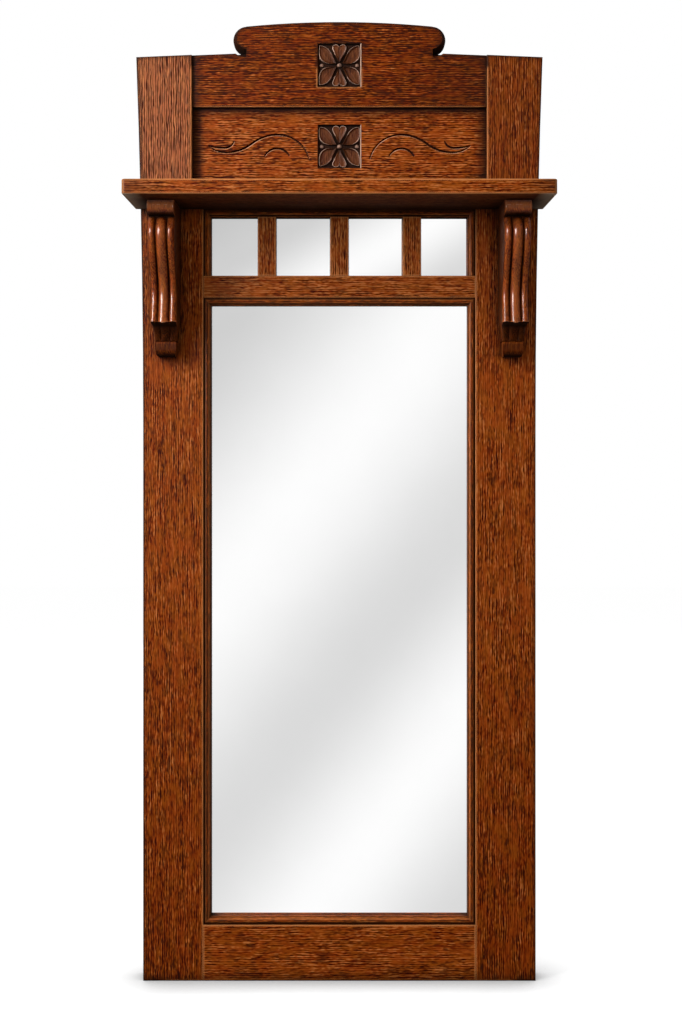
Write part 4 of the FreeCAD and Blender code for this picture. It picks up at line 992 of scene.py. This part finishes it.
band = add(tree, RANGE, {"Value": slant.outputs["Value"], "From Min": -1.0, "From Max": 1.0})
bands = add(tree, RAMP, {0: band}, stops=GREYS)
bands.color_ramp.interpolation = "EASE"
ray = add(tree, "ShaderNodeLightPath")
quiet = add(tree, MIX, {0: ray.outputs["Is Glossy Ray"], 6: ROOM_LIGHT, 7: bands})
seen = add(tree, MATH, {0: ray.outputs["Is Camera Ray"], 1: ray.outputs["Is Transmission Ray"]},
           operation="MAXIMUM")
light = add(tree, MIX, {0: seen, 6: quiet, 7: WHITE})
glow = add(tree, "ShaderNodeBackground", {"Color": light, "Strength": 1.0})
add(tree, "ShaderNodeOutputWorld", {"Surface": glow})
print("greys in the room:", len(GREYS))

# %% [markdown]
# ## The lamps
# Soft light comes from the upper left, as the shade on the carving tells. A tall key lamp gives that
# shade, and a weak wide lamp near the camera keeps the right side from going black. A third one adds
# only gloss: the streaks of a window along the reeds. The last stands behind, for views of the back.

# %% Four soft lamps
def softbox(name, place, aim, width, height, power):
    """An area lamp of a width and height in metres at a place, turned to face a point."""
    lamp = bpy.data.lights.new(name, "AREA")
    lamp.shape = "RECTANGLE"
    lamp.size = width
    lamp.size_y = height
    lamp.energy = power
    made = bpy.data.objects.new(name, lamp)
    bpy.context.scene.collection.objects.link(made)
    made.location = place
    away = np.array(place) - np.array(aim)
    flat = math.hypot(away[0], away[1])
    made.rotation_euler = (math.atan2(flat, away[2]), 0.0, math.atan2(away[0], -away[1]))
    print(name, "gives", power, "W")
    return made


softbox("key softbox", (-1.35, -1.0, 1.5), (0.0, 0.0, 0.75), 0.45, 1.1, 42.0)
front_fill = softbox("front fill", (0.4, -2.6, 0.7), (0.0, 0.0, 0.6), 1.2, 1.2, 14.0)
front_fill.visible_glossy = False
window = softbox("window glint", (-1.3, -1.15, 1.25), (0.0, 0.0, 0.8), 0.9, 0.9, 200.0)
window.visible_diffuse = False
back_fill = softbox("back fill", (-0.7, 2.4, 0.8), (0.0, 0.0, 0.6), 1.4, 1.4, 26.0)
back_fill.visible_glossy = False

# %% [markdown]
# ## The paper floor
# The mirror stands on matt white paper that melts into the background, with a soft shadow only where
# the wood touches it. More light would bleach the oak, so the paper itself is grey and glows for the
# camera alone, less where the foot of the frame is near: that dimmed glow is a painted contact shadow.
# Neither the paper nor the underside of the shelf shows in the photographed glass, so glossy rays pass
# both by.

# %% A sheet of paper
SHEET_REACH, CONTACT, CONTACT_POWER, GLOW = 4, 55 * MM, 1.45, 0.92
paper, tree, _, _ = new_finish("white paper, matt")
tree.nodes.clear()
ray = add(tree, "ShaderNodeLightPath")
# The camera's glow is dimmed near the frame's foot: a painted contact shadow.
near = add(tree, OCCLUSION, {"Distance": CONTACT}, samples=8)
crowded = add(tree, MATH, {0: near.outputs["AO"], 1: CONTACT_POWER}, operation="POWER")
lift = add(tree, MATH, {0: crowded, 1: ray.outputs["Is Camera Ray"]}, operation="MULTIPLY")
fill = add(tree, MATH, {0: lift, 1: GLOW}, operation="MULTIPLY")
sheet = add(tree, "ShaderNodeBsdfDiffuse", {"Color": linear("#7C7C7C")})
glow = add(tree, "ShaderNodeEmission", {"Color": WHITE, "Strength": fill})
both = add(tree, "ShaderNodeAddShader", {0: sheet, 1: glow})
add(tree, "ShaderNodeOutputMaterial", {"Surface": both})

floor_mesh = bpy.data.meshes.new("paper_floor")
paper_corners = [(-SHEET_REACH, -SHEET_REACH, 0), (SHEET_REACH, -SHEET_REACH, 0),
                 (SHEET_REACH, SHEET_REACH, 0), (-SHEET_REACH, SHEET_REACH, 0)]
floor_mesh.from_pydata(paper_corners, [], [(0, 1, 2, 3)])
floor = bpy.data.objects.new("paper_floor", floor_mesh)
bpy.context.scene.collection.objects.link(floor)
floor.visible_glossy = False
nodes["shelf"].visible_glossy = False
wear(paper, floor)

# %% [markdown]
# ## The camera
# The photograph looks straight at the wall from 1.6 m, a little above the middle of the glass, and the
# lines stay upright. Tilting the camera would make them lean, so it is level, and a small shift frames
# the whole mirror.

# %% The camera
FOCAL_PIXELS, LONG_SIDE, SENSOR = 1396.0, 1024.0, 36.0
SHIFT_RIGHT, SHIFT_UP = 1.6, -82.0
camera = bpy.data.cameras.new("portrait camera")
camera.sensor_width = SENSOR
camera.lens = FOCAL_PIXELS * SENSOR / LONG_SIDE
camera.shift_x = SHIFT_RIGHT / LONG_SIDE
camera.shift_y = SHIFT_UP / LONG_SIDE
viewer = bpy.data.objects.new("portrait camera", camera)
bpy.context.scene.collection.objects.link(viewer)
viewer.location = (0.0, -1.626, 0.6314)
viewer.rotation_euler = (math.radians(90), 0.0, 0.0)
bpy.context.scene.camera = viewer
bpy.context.scene.view_settings.view_transform = "Standard"
print("focal length, mm:", round(camera.lens, 1))
